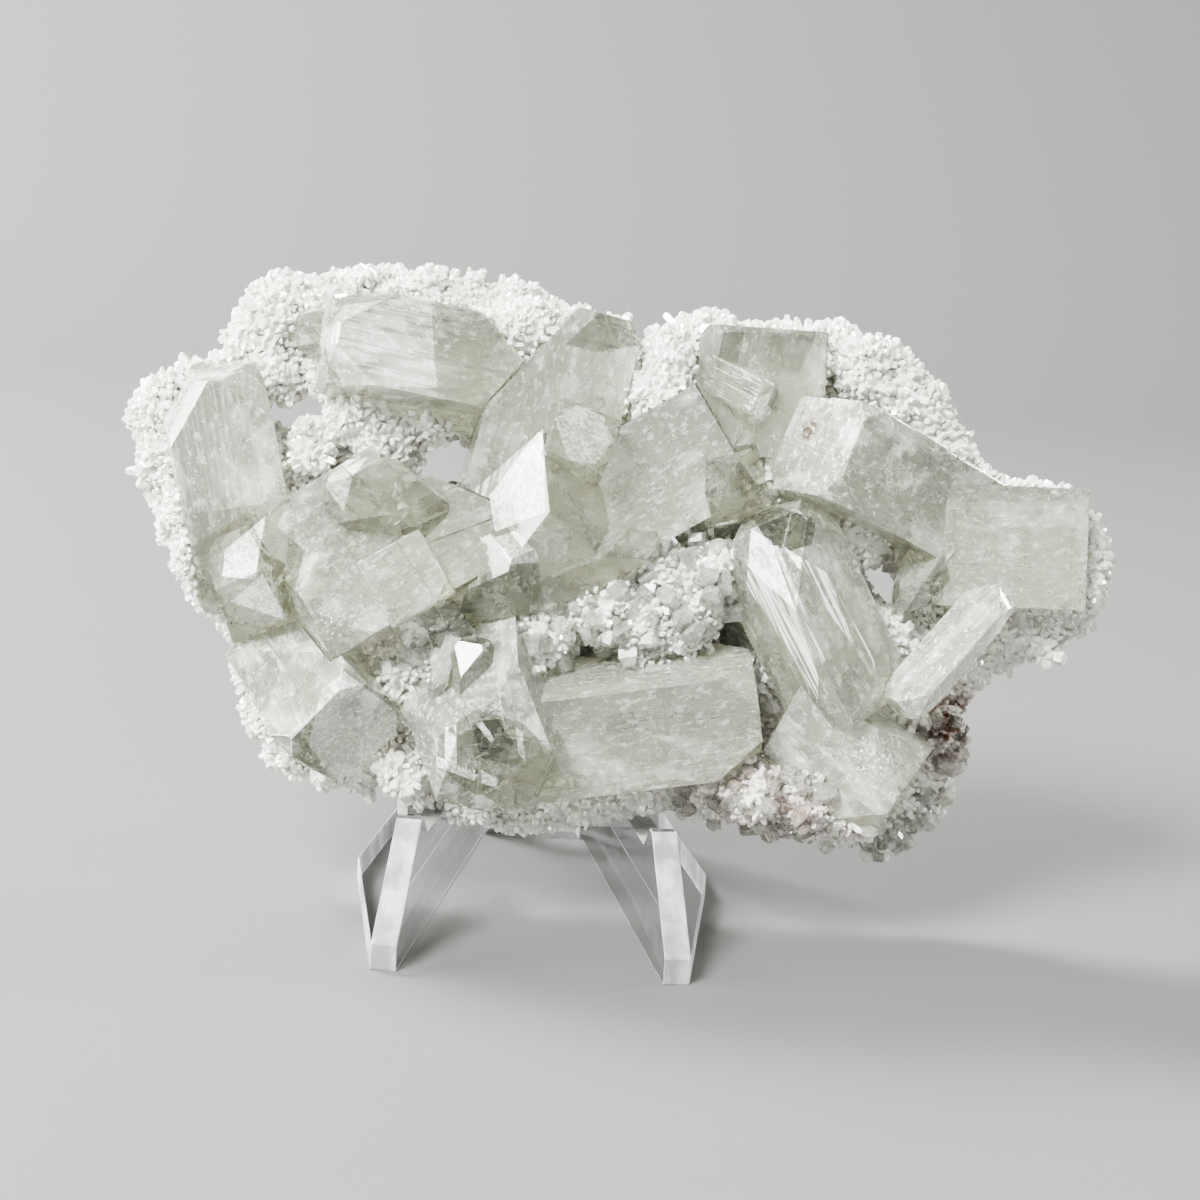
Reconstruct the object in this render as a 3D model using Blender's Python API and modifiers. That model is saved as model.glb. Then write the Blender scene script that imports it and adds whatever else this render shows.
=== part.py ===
"""Apophyllite cluster on its clear acrylic stand.

Glassy, pale green-white apophyllite crystals stand on a lumpy plate of white druse, which
leans back on a stand made of two clear acrylic legs and a cross plate behind them. Lengths
are written in millimetres.

The plate has its own directions: across (to the right), up (along the leaning plate) and
out (towards someone who looks at it squarely). A place on the plate is given as (across,
up, out), with across and up as they are seen against the plate from VIEW_DISTANCE away.
"""

import math
import random

import bmesh
import bpy
from mathutils import Matrix, Vector
from mathutils.bvhtree import BVHTree

MM = 0.001

# Pose of the plate of druse, with the front toes of the stand on the line y = 0
LEAN = 11.4
ROLL = 3.55
PLATE_CENTRE = (5.5, 24.9, 40.9)
VIEW_DISTANCE = 280.0

# Gap between neighbouring pieces
GAP = 0.3

# Slope of an apophyllite crystal's pyramid faces, from its flat end face
PYRAMID_ANGLE = 60.4

# Druse: its lumps, in rows, and how much they differ
LUMP_SPACING = 5.2
LUMP_COLUMNS = 13
LUMP_ROWS = 9
LUMP_RADIUS = 4.3
LUMP_SMALLEST = 1.6
LUMP_OUT = -5.6
LUMP_SCATTER = 0.9

# Smaller lumps along its edge
RIM_SPACING = 2.6
RIM_RADIUS = 2.3
RIM_SMALLEST = 1.0
RIM_BEHIND = 2.4
RIM_IN_FRONT = 3.4

# Druse: its finish, and the small crystals that stand on it
DRUSE_GRAIN = 0.95
DRUSE_TRIANGLES = 3500
DRUSE_POINTS = 160
POINT_WIDTH = (0.9, 1.5)
POINT_LENGTH = (2.2, 3.6)
POINT_TIP = 0.35
POINT_LIFT = 0.12
POINT_LEAN = 0.55
SEED = 7

# Nearer than this, points of a mesh are one (metres)
MERGE = 1e-6

# A corner sharper than this isn't drawn out further when its outline grows
SHARP_CORNER = 0.3

# Outline of the druse, clockwise from its top left, as (across, up)
DRUSE_OUTLINE = [
    (-43.2, 31.8), (-42.2, 36.6), (-39.2, 38.6), (-33.6, 38.4), (-29.2, 39.4), (-21.2, 39.0),
    (-12.6, 36.2), (-5.2, 34.8), (0.2, 33.6), (5.2, 31.8), (11.4, 33.2), (20.0, 31.6),
    (28.8, 31.8), (33.0, 30.8), (38.2, 26.8), (41.8, 21.8), (44.2, 17.4), (46.8, 14.8),
    (50.0, 12.4), (57.8, 12.2), (60.4, 7.4), (60.0, 1.2), (56.6, -3.2), (51.2, -3.0),
    (46.8, -7.0), (43.2, -11.2), (42.0, -17.4), (41.8, -23.8), (38.6, -26.8), (30.0, -28.2),
    (22.4, -26.4), (13.2, -24.4), (8.8, -23.2), (1.2, -24.8), (-5.0, -26.4), (-12.4, -26.8),
    (-22.4, -24.2), (-24.6, -20.4), (-33.6, -21.4), (-37.4, -17.8), (-42.2, -14.2),
    (-43.8, -5.2), (-45.0, -0.8), (-49.2, 1.2), (-50.8, 3.8), (-53.0, 10.0), (-55.4, 16.0),
    (-56.4, 21.4), (-54.4, 26.6), (-48.4, 28.0),
]

# Open holes through the druse: across, up, half width, half height
DRUSE_HOLES = [
    (-37.9, 23.9, 3.9, 2.7),
    (-18.8, 16.8, 3.8, 3.4),
    (5.1, 33.2, 1.7, 2.0),
    (34.8, 2.0, 1.9, 1.8),
]

# Places where the druse bulges out between the crystals: across, up, out, radius
DRUSE_MOUNDS = [
    (-41.0, 34.0, -2.0, 4.6), (-40.0, 28.6, -1.4, 3.6), (-33.0, 27.6, 0.0, 3.4),
    (-29.6, 23.6, 1.6, 4.4), (-26.4, 19.6, 1.0, 3.6), (-36.0, 19.4, 0.6, 3.2),
    (-21.6, 22.2, 0.4, 3.4), (-22.6, 27.2, 0.0, 3.2), (-14.4, 12.6, -1.0, 3.0),
    (-13.0, 31.6, 0.2, 4.4), (-8.2, 34.0, 0.0, 3.4), (8.6, 30.0, 0.6, 3.8),
    (7.2, 25.4, 2.6, 3.6), (12.2, 23.4, 2.6, 3.8), (15.6, 27.4, 1.4, 3.4),
    (33.4, 28.6, -1.4, 4.4), (38.4, 24.0, -2.0, 4.2), (42.0, 18.6, -2.6, 3.6),
    (-4.4, 1.6, 2.4, 3.8), (0.8, -1.4, 3.0, 4.2), (6.0, -3.2, 3.2, 4.2),
    (11.2, -1.6, 3.4, 4.0), (14.6, 3.4, 2.8, 4.0), (8.8, 3.2, 2.6, 4.0),
    (-6.8, -5.2, 2.6, 3.6), (-11.8, -9.6, 2.8, 3.2), (-20.2, -6.0, 2.4, 4.4),
    (-24.6, -10.4, 1.2, 4.2), (-20.6, -13.8, 2.2, 3.4), (-24.8, -22.0, 1.2, 2.8),
    (14.6, -22.0, 0.6, 3.6), (19.8, -24.2, 2.2, 3.8), (26.0, -24.8, 2.6, 3.8),
    (31.4, -26.4, 1.6, 3.4), (5.4, -23.4, 0.0, 3.0), (40.6, -14.6, -0.6, 3.6),
    (44.2, -9.0, -1.4, 3.4), (49.6, -4.4, -3.4, 3.0), (-45.6, 5.4, -2.6, 4.0),
    (-41.4, -8.8, -0.6, 4.0), (-39.6, -14.2, -1.2, 3.4), (36.2, -4.8, 0.6, 3.4),
    (22.6, 15.2, -0.6, 3.8), (31.8, 7.0, 0.0, 3.4), (-52.4, 24.6, -4.0, 3.6),
    (-46.0, 1.6, -10.4, 4.6), (-47.6, 8.4, -9.6, 4.4), (-40.4, -4.8, -9.8, 4.8),
    (-36.6, -9.4, -8.6, 4.2), (-15.0, -6.6, -9.8, 5.2), (-11.2, -10.4, -8.4, 4.2),
    (44.6, 10.6, -10.6, 5.2), (39.6, 12.8, -9.6, 5.0), (48.6, 7.4, -9.0, 4.4),
]

# Drips of small crystals that hang at the right end: across, up, out, radius
DRUSE_DRIPS = [
    (53.2, -3.6, -4.4, 2.1), (54.4, -5.0, -4.6, 1.8), (56.8, -3.8, -5.0, 1.8),
    (55.4, -6.4, -4.6, 1.5), (60.2, 9.4, -5.0, 1.9), (61.0, 6.0, -5.0, 1.9),
    (60.6, 2.6, -5.0, 1.9), (59.0, -1.4, -5.0, 1.8),
]

# Stand of clear sheet
SHEET = 3.18
TOE_SPACING = 34.7
LEG_ANGLE = 9.0
STAND_YAW = 2.1
LEG_LENGTH = 62.0
FOOT_WIDTH = 12.2
FOOT_CORNER = 31.0
TIP = (11.5, 15.2)
TIP_WIDTH = 1.4
SEAT = (15.6, 12.4)
SEAT_END = 36.0
REST_TOP = (44.5, 46.0)
REST_WIDTH = 4.0
CROSS_PLATE_AT = 55.0
CROSS_PLATE_HEIGHT = 15.0


def plate_axes():
    """Unit vectors across, up and out of the leaning plate."""
    lean = math.radians(LEAN)
    roll = math.radians(ROLL)
    level = Vector((1, 0, 0))
    rise = Vector((0, math.sin(lean), math.cos(lean)))
    across = level * math.cos(roll) + rise * math.sin(roll)
    up = rise * math.cos(roll) - level * math.sin(roll)
    out = Vector((0, -math.cos(lean), math.sin(lean)))
    return across, up, out


ACROSS, UP, OUT = plate_axes()


def on_plate(across, up, out):
    """World place of a point of the plate, in metres."""
    nearer = 1 - out / VIEW_DISTANCE
    place = Vector(PLATE_CENTRE) + (ACROSS * across + UP * up) * nearer + OUT * out
    return place * MM


def clear_scene():
    """Remove every object from the scene."""
    for thing in list(bpy.data.objects):
        bpy.data.objects.remove(thing)


def new_object(name, mesh, collection):
    """An object of this mesh in a collection."""
    thing = bpy.data.objects.new(name, mesh)
    collection.objects.link(thing)
    return thing


def mesh_of(shape, name):
    """The bmesh as a mesh, with its faces turned outwards."""
    bmesh.ops.recalc_face_normals(shape, faces=shape.faces)
    mesh = bpy.data.meshes.new(name)
    shape.to_mesh(mesh)
    shape.free()
    return mesh


def material(name, base, transmission, roughness):
    """A Principled material of this colour."""
    made = bpy.data.materials.new(name)
    made.use_nodes = True
    shader = made.node_tree.nodes["Principled BSDF"]
    shader.inputs["Base Color"].default_value = (*base, 1)
    shader.inputs["Roughness"].default_value = roughness
    shader.inputs["Metallic"].default_value = 0
    shader.inputs["Transmission Weight"].default_value = transmission
    return made


def evaluated_mesh(thing, name):
    """The object's mesh as its modifiers leave it."""
    bpy.context.view_layer.update()
    depsgraph = bpy.context.evaluated_depsgraph_get()
    mesh = bpy.data.meshes.new_from_object(thing.evaluated_get(depsgraph))
    mesh.name = name
    return mesh


def combine(thing, others, operation):
    """Join other objects to a solid, or cut them from it, and keep the result as its mesh."""
    for other in others:
        boolean = thing.modifiers.new(operation.title(), "BOOLEAN")
        boolean.operation = operation
        boolean.solver = "EXACT"
        boolean.object = other
    mesh = evaluated_mesh(thing, thing.name)
    thing.modifiers.clear()
    thing.data = mesh
    return thing


def cut_flat(shape, point, normal):
    """Cut away what lies beyond a plane and close the cut with a flat face."""
    geometry = shape.verts[:] + shape.edges[:] + shape.faces[:]
    bmesh.ops.bisect_plane(
        shape, geom=geometry, plane_co=point, plane_no=normal, clear_outer=True,
        dist=MERGE,
    )
    open_edges = [edge for edge in shape.edges if edge.is_boundary]
    bmesh.ops.holes_fill(shape, edges=open_edges, sides=0)


def pyramid_planes(half_width, half_depth, flat, turn, unevenness, dice):
    """The four pyramid faces at a crystal's end, as (normal, distance from the end's centre).

    flat is the size of the flat end face: 1 reaches the prism's corners, 0 is a full point.
    turn is 45 where the faces stand over the prism's edges, and 0 where over its faces."""
    slope = math.radians(PYRAMID_ANGLE)
    reach = math.hypot(half_width, half_depth) if turn else min(half_width, half_depth)
    planes = []
    for quarter in range(4):
        around = math.radians(turn + 90 * quarter)
        normal = Vector((
            math.sin(slope) * math.cos(around),
            math.sin(slope) * math.sin(around),
            math.cos(slope),
        ))
        size = flat * (1 + dice.uniform(-unevenness, unevenness)) * reach
        planes.append((normal, size * math.sin(slope)))
    return planes


def crystal(
    head, heading, tilt, size, flat=0.6, back=None, spin=0.0, turn=45.0, uneven=0.12, trim=()
):
    """One crystal's measures: the middle of its end face on the plate, the way it points
    (heading turns from across towards up, tilt lifts it out of the plate), its width, depth
    and length, how flat its two ends are, how far it is spun about its length, and any more
    faces that trim it, each as a direction across its width, depth and length and its
    distance from the middle of the end face."""
    return {
        "head": head, "heading": heading, "tilt": tilt, "size": size, "flat": flat,
        "back": back, "spin": spin, "turn": turn, "uneven": uneven, "trim": trim,
    }


def crystal_frame(measures):
    """Where a crystal's end face lies, and its directions: wide, deep and lengthwise."""
    heading = math.radians(measures["heading"])
    tilt = math.radians(measures["tilt"])
    along = (ACROSS * math.cos(heading) + UP * math.sin(heading)) * math.cos(tilt)
    along = along + OUT * math.sin(tilt)
    sideways = ACROSS * math.sin(heading) - UP * math.cos(heading)
    turned = Matrix.Rotation(math.radians(measures["spin"]), 3, along)
    wide = turned @ sideways
    deep = along.cross(wide)
    frame = Matrix((wide, deep, along)).transposed().to_4x4()
    frame.translation = on_plate(*measures["head"])
    return frame


def crystal_shape(measures, seed, grow=0.0):
    """A square prism cut by pyramid faces at its end, as a bmesh in place, in metres.

    grow moves every face outwards, to make a cutter that leaves a gap."""
    width, depth, length = measures["size"]
    half_width = width / 2
    half_depth = depth / 2
    dice = random.Random(seed)
    shape = bmesh.new()
    bmesh.ops.create_cube(shape, size=1)
    bmesh.ops.scale(
        shape, verts=shape.verts,
        vec=(width + 2 * grow, depth + 2 * grow, length + 2 * grow),
    )
    bmesh.ops.translate(shape, verts=shape.verts, vec=(0, 0, -length / 2))
    ends = [(measures["flat"], 1, 0.0)]
    if measures["back"] is not None:
        ends.append((measures["back"], -1, -length))
    for flat, side, end in ends:
        planes = pyramid_planes(
            half_width, half_depth, flat, measures["turn"], measures["uneven"], dice
        )
        for normal, distance in planes:
            facing = Vector((normal.x, normal.y, normal.z * side))
            point = Vector((0, 0, end)) + facing * (distance + grow)
            cut_flat(shape, point, facing)
    for direction, distance in measures["trim"]:
        facing = Vector(direction).normalized()
        cut_flat(shape, facing * (distance + grow), facing)
    bmesh.ops.scale(shape, verts=shape.verts, vec=(MM, MM, MM))
    bmesh.ops.transform(shape, matrix=crystal_frame(measures), verts=shape.verts)
    return shape


# Every large crystal, in the groups that grew into one another
CRYSTAL_GROUPS = {
    "crystals_lower_right": [
        crystal(
            (21.4, 10.6, 7.0), 117, 12, (13.6, 13.0, 26.0), flat=0.42, spin=27,
            trim=[((0.89, -0.45, 0), 6.4)],
        ),
        crystal((38.4, -23.6, 2.6), -33, 14, (12.4, 12.0, 17.0), flat=0.62, spin=18),
    ],
    "crystals_bottom": [
        crystal((-13.4, -21.6, 12.5), -84, 52, (16.0, 14.5, 23.0), flat=0.55, spin=24),
        crystal((19.4, -13.0, 2.5), 7, 0, (13.4, 13.0, 31.0), flat=0.62, spin=22),
        crystal((-15.6, -5.0, 9.0), 84, 14, (5.4, 5.0, 11.0), flat=0.4, spin=30),
        crystal((-20.6, -12.6, 8.0), 248, 8, (2.2, 3.6, 8.0), flat=0.3, spin=20),
    ],
    "crystals_left": [
        crystal(
            (-49.0, 28.7, 2.6), 97.5, 20, (12.8, 11.5, 29.5), flat=0.5, spin=12, back=0.8,
            trim=[((-0.79, 0, 0.62), 1.4)],
        ),
        crystal((-41.6, 4.0, 12.2), 20, 78, (12.6, 12.0, 19.0), flat=0.05, spin=0),
        crystal((-40.6, 4.8, 4.6), 212, 6, (11.0, 10.0, 17.5), flat=0.7, spin=0),
        crystal(
            (-37.2, -1.8, 7.2), 209.5, 15, (13.8, 12.0, 26.0), flat=0.58, spin=4,
            trim=[((0.6, 0, -0.8), 21.0)],
        ),
        crystal((-20.4, 4.8, 8.4), 29.5, -4, (8.6, 7.0, 8.6), flat=0.8, spin=2),
        crystal((-34.4, 13.4, 10.5), 172, 16, (7.8, 7.6, 15.0), flat=0.3, back=0.25, spin=28),
    ],
    "crystal_bottom_left": [
        crystal((-31.6, -16.4, 7.5), -52, 44, (13.0, 12.0, 19.5), flat=0.76, spin=10),
    ],
    "crystals_centre": [
        crystal(
            (0.4, 35.4, -0.5), 76, 0, (24.0, 11.0, 31.0), flat=0.62, spin=8, turn=0,
            trim=[((1, 0, 0), 4.6)],
        ),
        crystal((-7.3, 21.0, 10.5), 94, 32, (14.0, 13.0, 26.0), flat=0.04, spin=2),
        crystal((-2.0, 20.6, 12.0), 60, 74, (7.6, 7.0, 12.0), flat=0.9, spin=10),
        crystal((-10.9, 7.4, 9.5), 70, 48, (8.0, 7.8, 10.5), flat=0.36, spin=8),
        crystal((15.2, 20.6, 0.5), 30, 2, (15.0, 12.5, 25.0), flat=0.8, spin=6),
        crystal((7.2, 7.8, 6.5), 22, 12, (6.4, 5.6, 13.0), flat=0.2, spin=45),
        crystal((17.6, 17.4, 11.5), 75, 72, (7.8, 7.8, 12.0), flat=0.0, spin=-60, turn=0),
    ],
    "crystals_top_left": [
        crystal((-34.2, 32.0, 6.5), 170, 20, (11.8, 12.0, 24.0), flat=0.64, back=0.6, spin=14),
        crystal((-27.0, 26.2, 2.4), 174, 10, (6.6, 6.6, 16.0), flat=0.5, spin=42),
        crystal((-38.2, 34.4, 0.8), 162, 8, (5.6, 5.4, 10.0), flat=0.4, spin=30),
    ],
    "crystals_top_right": [
        crystal((20.2, 33.3, -1.0), 86, -3, (15.6, 8.5, 16.0), flat=0.9, spin=0),
        crystal((20.6, 24.8, 6.5), -32, 34, (4.4, 4.0, 10.0), flat=0.9, spin=6),
    ],
    "crystals_right": [
        crystal(
            (27.2, 20.6, 8.8), 154, 36, (14.8, 14.4, 26.0), flat=0.74, spin=6,
            trim=[((1, 0, 0), 4.8)],
        ),
        crystal((36.8, -1.8, 3.0), 228, 12, (5.6, 5.2, 14.0), flat=0.1, spin=45),
        crystal((39.4, -0.4, 1.0), 246, 8, (5.2, 5.0, 14.0), flat=0.1, spin=20),
        crystal((59.4, 6.2, -2.0), -2, -6, (15.0, 9.5, 18.0), flat=0.9, spin=0),
        crystal((37.2, -13.6, 8.5), 227, 12, (5.2, 4.6, 19.5), flat=0.5, back=0.5, spin=28),
    ],
}


def offset_outline(points, by):
    """A closed outline, given anticlockwise, with every side moved outwards."""
    moved = []
    count = len(points)
    for index, point in enumerate(points):
        before = Vector(points[index - 1])
        here = Vector(point)
        after = Vector(points[(index + 1) % count])
        in_side = (here - before).normalized()
        out_side = (after - here).normalized()
        in_normal = Vector((in_side.y, -in_side.x))
        out_normal = Vector((out_side.y, -out_side.x))
        corner = (in_normal + out_normal).normalized()
        moved.append(here + corner * (by / max(corner.dot(in_normal), SHARP_CORNER)))
    return moved


def sheet_piece(name, outline, thickness, place, collection):
    """A flat piece of sheet: a filled outline, as thick as the sheet, moved to its place."""
    curve = bpy.data.curves.new(name, "CURVE")
    curve.dimensions = "2D"
    curve.fill_mode = "BOTH"
    curve.extrude = thickness / 2 * MM
    spline = curve.splines.new("POLY")
    spline.points.add(len(outline) - 1)
    for point, (across, along) in zip(spline.points, outline):
        point.co = (across * MM, along * MM, 0, 1)
    spline.use_cyclic_u = True
    drawn = new_object(name, curve, collection)
    mesh = evaluated_mesh(drawn, name)
    bpy.data.objects.remove(drawn)
    shape = bmesh.new()
    shape.from_mesh(mesh)
    bmesh.ops.remove_doubles(shape, verts=shape.verts, dist=MERGE)
    bmesh.ops.transform(shape, matrix=place, verts=shape.verts)
    return new_object(name, mesh_of(shape, name), collection)


def leg_place(side):
    """Matrix of a leg: its own x runs outwards from the inner edge, its y runs back."""
    turn = Matrix.Rotation(math.radians(STAND_YAW + side * LEG_ANGLE), 4, "Z")
    yaw = Matrix.Rotation(math.radians(STAND_YAW), 4, "Z")
    toe = yaw @ Vector(((side * (TOE_SPACING - SHEET) / 2) * MM, 0, 0))
    flip = Matrix.Scale(side, 4, (1, 0, 0))
    return Matrix.Translation(toe) @ turn @ flip


def fin_outline():
    """Side view of a leg's upright: toe, tip, seat, rest and back, as (back, up)."""
    return [
        (0.0, SHEET), (0.0, 0.0), (LEG_LENGTH, 0.0), (LEG_LENGTH, SHEET + 2.0),
        (REST_TOP[0] + REST_WIDTH, REST_TOP[1]), REST_TOP, (SEAT_END, SEAT[1]), SEAT,
        (TIP[0] + TIP_WIDTH, TIP[1]), TIP,
    ]


def leg(side, name, collection, grow=0.0):
    """A leg: a flat foot with a pointed toe, and an upright along its inner edge."""
    foot = [
        (0.0, 0.0), (SHEET, 0.0), (FOOT_WIDTH, FOOT_CORNER), (FOOT_WIDTH, LEG_LENGTH),
        (0.0, LEG_LENGTH),
    ]
    place = leg_place(side)
    foot_place = place @ Matrix.Translation((0, 0, SHEET / 2 * MM))
    foot_piece = sheet_piece(
        name, offset_outline(foot, grow), SHEET + 2 * grow, foot_place, collection
    )
    upright = Matrix.Translation((SHEET / 2 * MM, 0, 0)) @ Matrix((
        (0, 0, 1, 0), (1, 0, 0, 0), (0, 1, 0, 0), (0, 0, 0, 1)
    ))
    fin = sheet_piece(
        name + "_fin", offset_outline(fin_outline(), grow), SHEET + 2 * grow,
        place @ upright, collection,
    )
    combine(foot_piece, [fin], "UNION")
    bpy.data.objects.remove(fin)
    return foot_piece


def cross_plate(name, collection):
    """The small upright plate that stands between the two legs behind the druse."""
    narrowing = math.tan(math.radians(LEG_ANGLE))
    half = (TOE_SPACING - SHEET) / 2 - GAP / math.cos(math.radians(LEG_ANGLE))
    front = CROSS_PLATE_AT
    rear = CROSS_PLATE_AT + SHEET
    outline = [
        (-(half - front * narrowing), front), (half - front * narrowing, front),
        (half - rear * narrowing, rear), (-(half - rear * narrowing), rear),
    ]
    place = Matrix.Rotation(math.radians(STAND_YAW), 4, "Z")
    place = place @ Matrix.Translation((0, 0, CROSS_PLATE_HEIGHT / 2 * MM))
    return sheet_piece(name, outline, CROSS_PLATE_HEIGHT, place, collection)


def inside_outline(outline, across, up):
    """True if a place lies inside a closed outline."""
    inside = False
    for index, (x, y) in enumerate(outline):
        x_before, y_before = outline[index - 1]
        if (y > up) != (y_before > up):
            crossing = x + (up - y) / (y_before - y) * (x_before - x)
            inside = inside != (across < crossing)
    return inside


def room_beside_holes(across, up):
    """How far a place is from the nearest hole's edge."""
    room = math.inf
    for hole_across, hole_up, half_width, half_height in DRUSE_HOLES:
        east = (across - hole_across) / half_width
        north = (up - hole_up) / half_height
        size = (half_width + half_height) / 2
        room = min(room, (math.hypot(east, north) - 1) * size)
    return room


def outline_steps(outline, spacing):
    """Points at an even spacing along a closed outline."""
    steps = []
    for index, start in enumerate(outline):
        end = outline[(index + 1) % len(outline)]
        length = math.dist(start, end)
        count = max(1, round(length / spacing))
        for step in range(count):
            share = step / count
            steps.append((
                start[0] + (end[0] - start[0]) * share,
                start[1] + (end[1] - start[1]) * share,
            ))
    return steps


def druse_lumps():
    """The lumps that make up the druse, as (across, up, out, radius)."""
    dice = random.Random(SEED)
    lumps = []
    row_height = LUMP_SPACING * math.sin(math.radians(60))
    for row in range(-LUMP_ROWS, LUMP_ROWS + 1):
        for column in range(-LUMP_COLUMNS, LUMP_COLUMNS + 1):
            across = (column + row % 2 / 2) * LUMP_SPACING
            x = across + dice.uniform(-LUMP_SCATTER, LUMP_SCATTER)
            y = row * row_height + dice.uniform(-LUMP_SCATTER, LUMP_SCATTER)
            out = LUMP_OUT + dice.uniform(-LUMP_SCATTER, LUMP_SCATTER)
            radius = min(LUMP_RADIUS * dice.uniform(0.9, 1.15), room_beside_holes(x, y))
            if radius > LUMP_SMALLEST and inside_outline(DRUSE_OUTLINE, x, y):
                lumps.append((x, y, out, radius))
    for x, y in outline_steps(DRUSE_OUTLINE, RIM_SPACING):
        radius = min(RIM_RADIUS * dice.uniform(0.75, 1.15), room_beside_holes(x, y))
        if radius > RIM_SMALLEST:
            out = LUMP_OUT + dice.uniform(-RIM_BEHIND, RIM_IN_FRONT)
            lumps.append((x, y, out, radius))
    return lumps + DRUSE_MOUNDS + DRUSE_DRIPS


def largest_body(mesh):
    """Keep only the largest connected body of a mesh, by its count of faces."""
    shape = bmesh.new()
    shape.from_mesh(mesh)
    bodies = []
    waiting = set(shape.verts)
    while waiting:
        body = set()
        edge_of_body = [waiting.pop()]
        while edge_of_body:
            vertex = edge_of_body.pop()
            body.add(vertex)
            for edge in vertex.link_edges:
                other = edge.other_vert(vertex)
                if other in waiting:
                    waiting.discard(other)
                    edge_of_body.append(other)
        bodies.append(body)
    bodies.sort(key=len, reverse=True)
    loose = [vertex for body in bodies[1:] for vertex in body]
    bmesh.ops.delete(shape, geom=loose, context="VERTS")
    bmesh.ops.dissolve_degenerate(shape, edges=shape.edges, dist=2 * MERGE)
    bmesh.ops.triangulate(shape, faces=shape.faces)
    shape.to_mesh(mesh)
    shape.free()


def druse_body(name, collection):
    """The lumpy plate of druse, as one closed solid."""
    shape = bmesh.new()
    for across, up, out, radius in druse_lumps():
        place = Matrix.Translation(on_plate(across, up, out))
        bmesh.ops.create_icosphere(shape, subdivisions=2, radius=radius * MM, matrix=place)
    thing = new_object(name, mesh_of(shape, name), collection)
    remesh = thing.modifiers.new("Grow together", "REMESH")
    remesh.mode = "VOXEL"
    remesh.voxel_size = DRUSE_GRAIN * MM
    thing.data = evaluated_mesh(thing, name)
    thing.modifiers.clear()
    largest_body(thing.data)
    decimate = thing.modifiers.new("Facets", "DECIMATE")
    decimate.ratio = DRUSE_TRIANGLES / len(thing.data.polygons)
    thing.data = evaluated_mesh(thing, name)
    thing.modifiers.clear()
    return thing


def druse_crystals(druse, cutters, collection):
    """Small pointed crystals all over the druse, as one mesh of separate bodies."""
    dice = random.Random(SEED + 1)
    faces = list(druse.data.polygons)
    dice.shuffle(faces)
    shape = bmesh.new()
    taken = []
    for face in faces:
        if len(taken) >= DRUSE_POINTS:
            break
        centre = Vector(face.center)
        if any(inside_crystal(centre, cutter) for cutter in cutters):
            continue
        lean = Vector([dice.uniform(-POINT_LEAN, POINT_LEAN) for _ in range(3)])
        along = (Vector(face.normal) + lean).normalized()
        width = dice.uniform(*POINT_WIDTH) * MM
        length = dice.uniform(*POINT_LENGTH) * MM
        turn = along.to_track_quat("Z", "Y").to_matrix().to_4x4()
        spin = Matrix.Rotation(dice.uniform(0, math.pi), 4, "Z")
        base = centre + along * (length * POINT_LIFT)
        place = Matrix.Translation(base) @ turn @ spin
        point = bmesh.new()
        bmesh.ops.create_cone(
            point, cap_ends=True, segments=4, radius1=width, radius2=width * POINT_TIP,
            depth=length, matrix=place,
        )
        tree = BVHTree.FromBMesh(point)
        if not any(tree.overlap(other) for other in taken):
            taken.append(tree)
            cone = mesh_of(point, "druse_point")
            shape.from_mesh(cone)
            bpy.data.meshes.remove(cone)
    return new_object("druse_points", mesh_of(shape, "druse_points"), collection)


def inside_crystal(point, cutter):
    """True if a world point is inside a crystal's cutter, told by its own faces."""
    for face in cutter.data.polygons:
        if (point - face.center).dot(face.normal) > 0:
            return False
    return True


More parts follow.
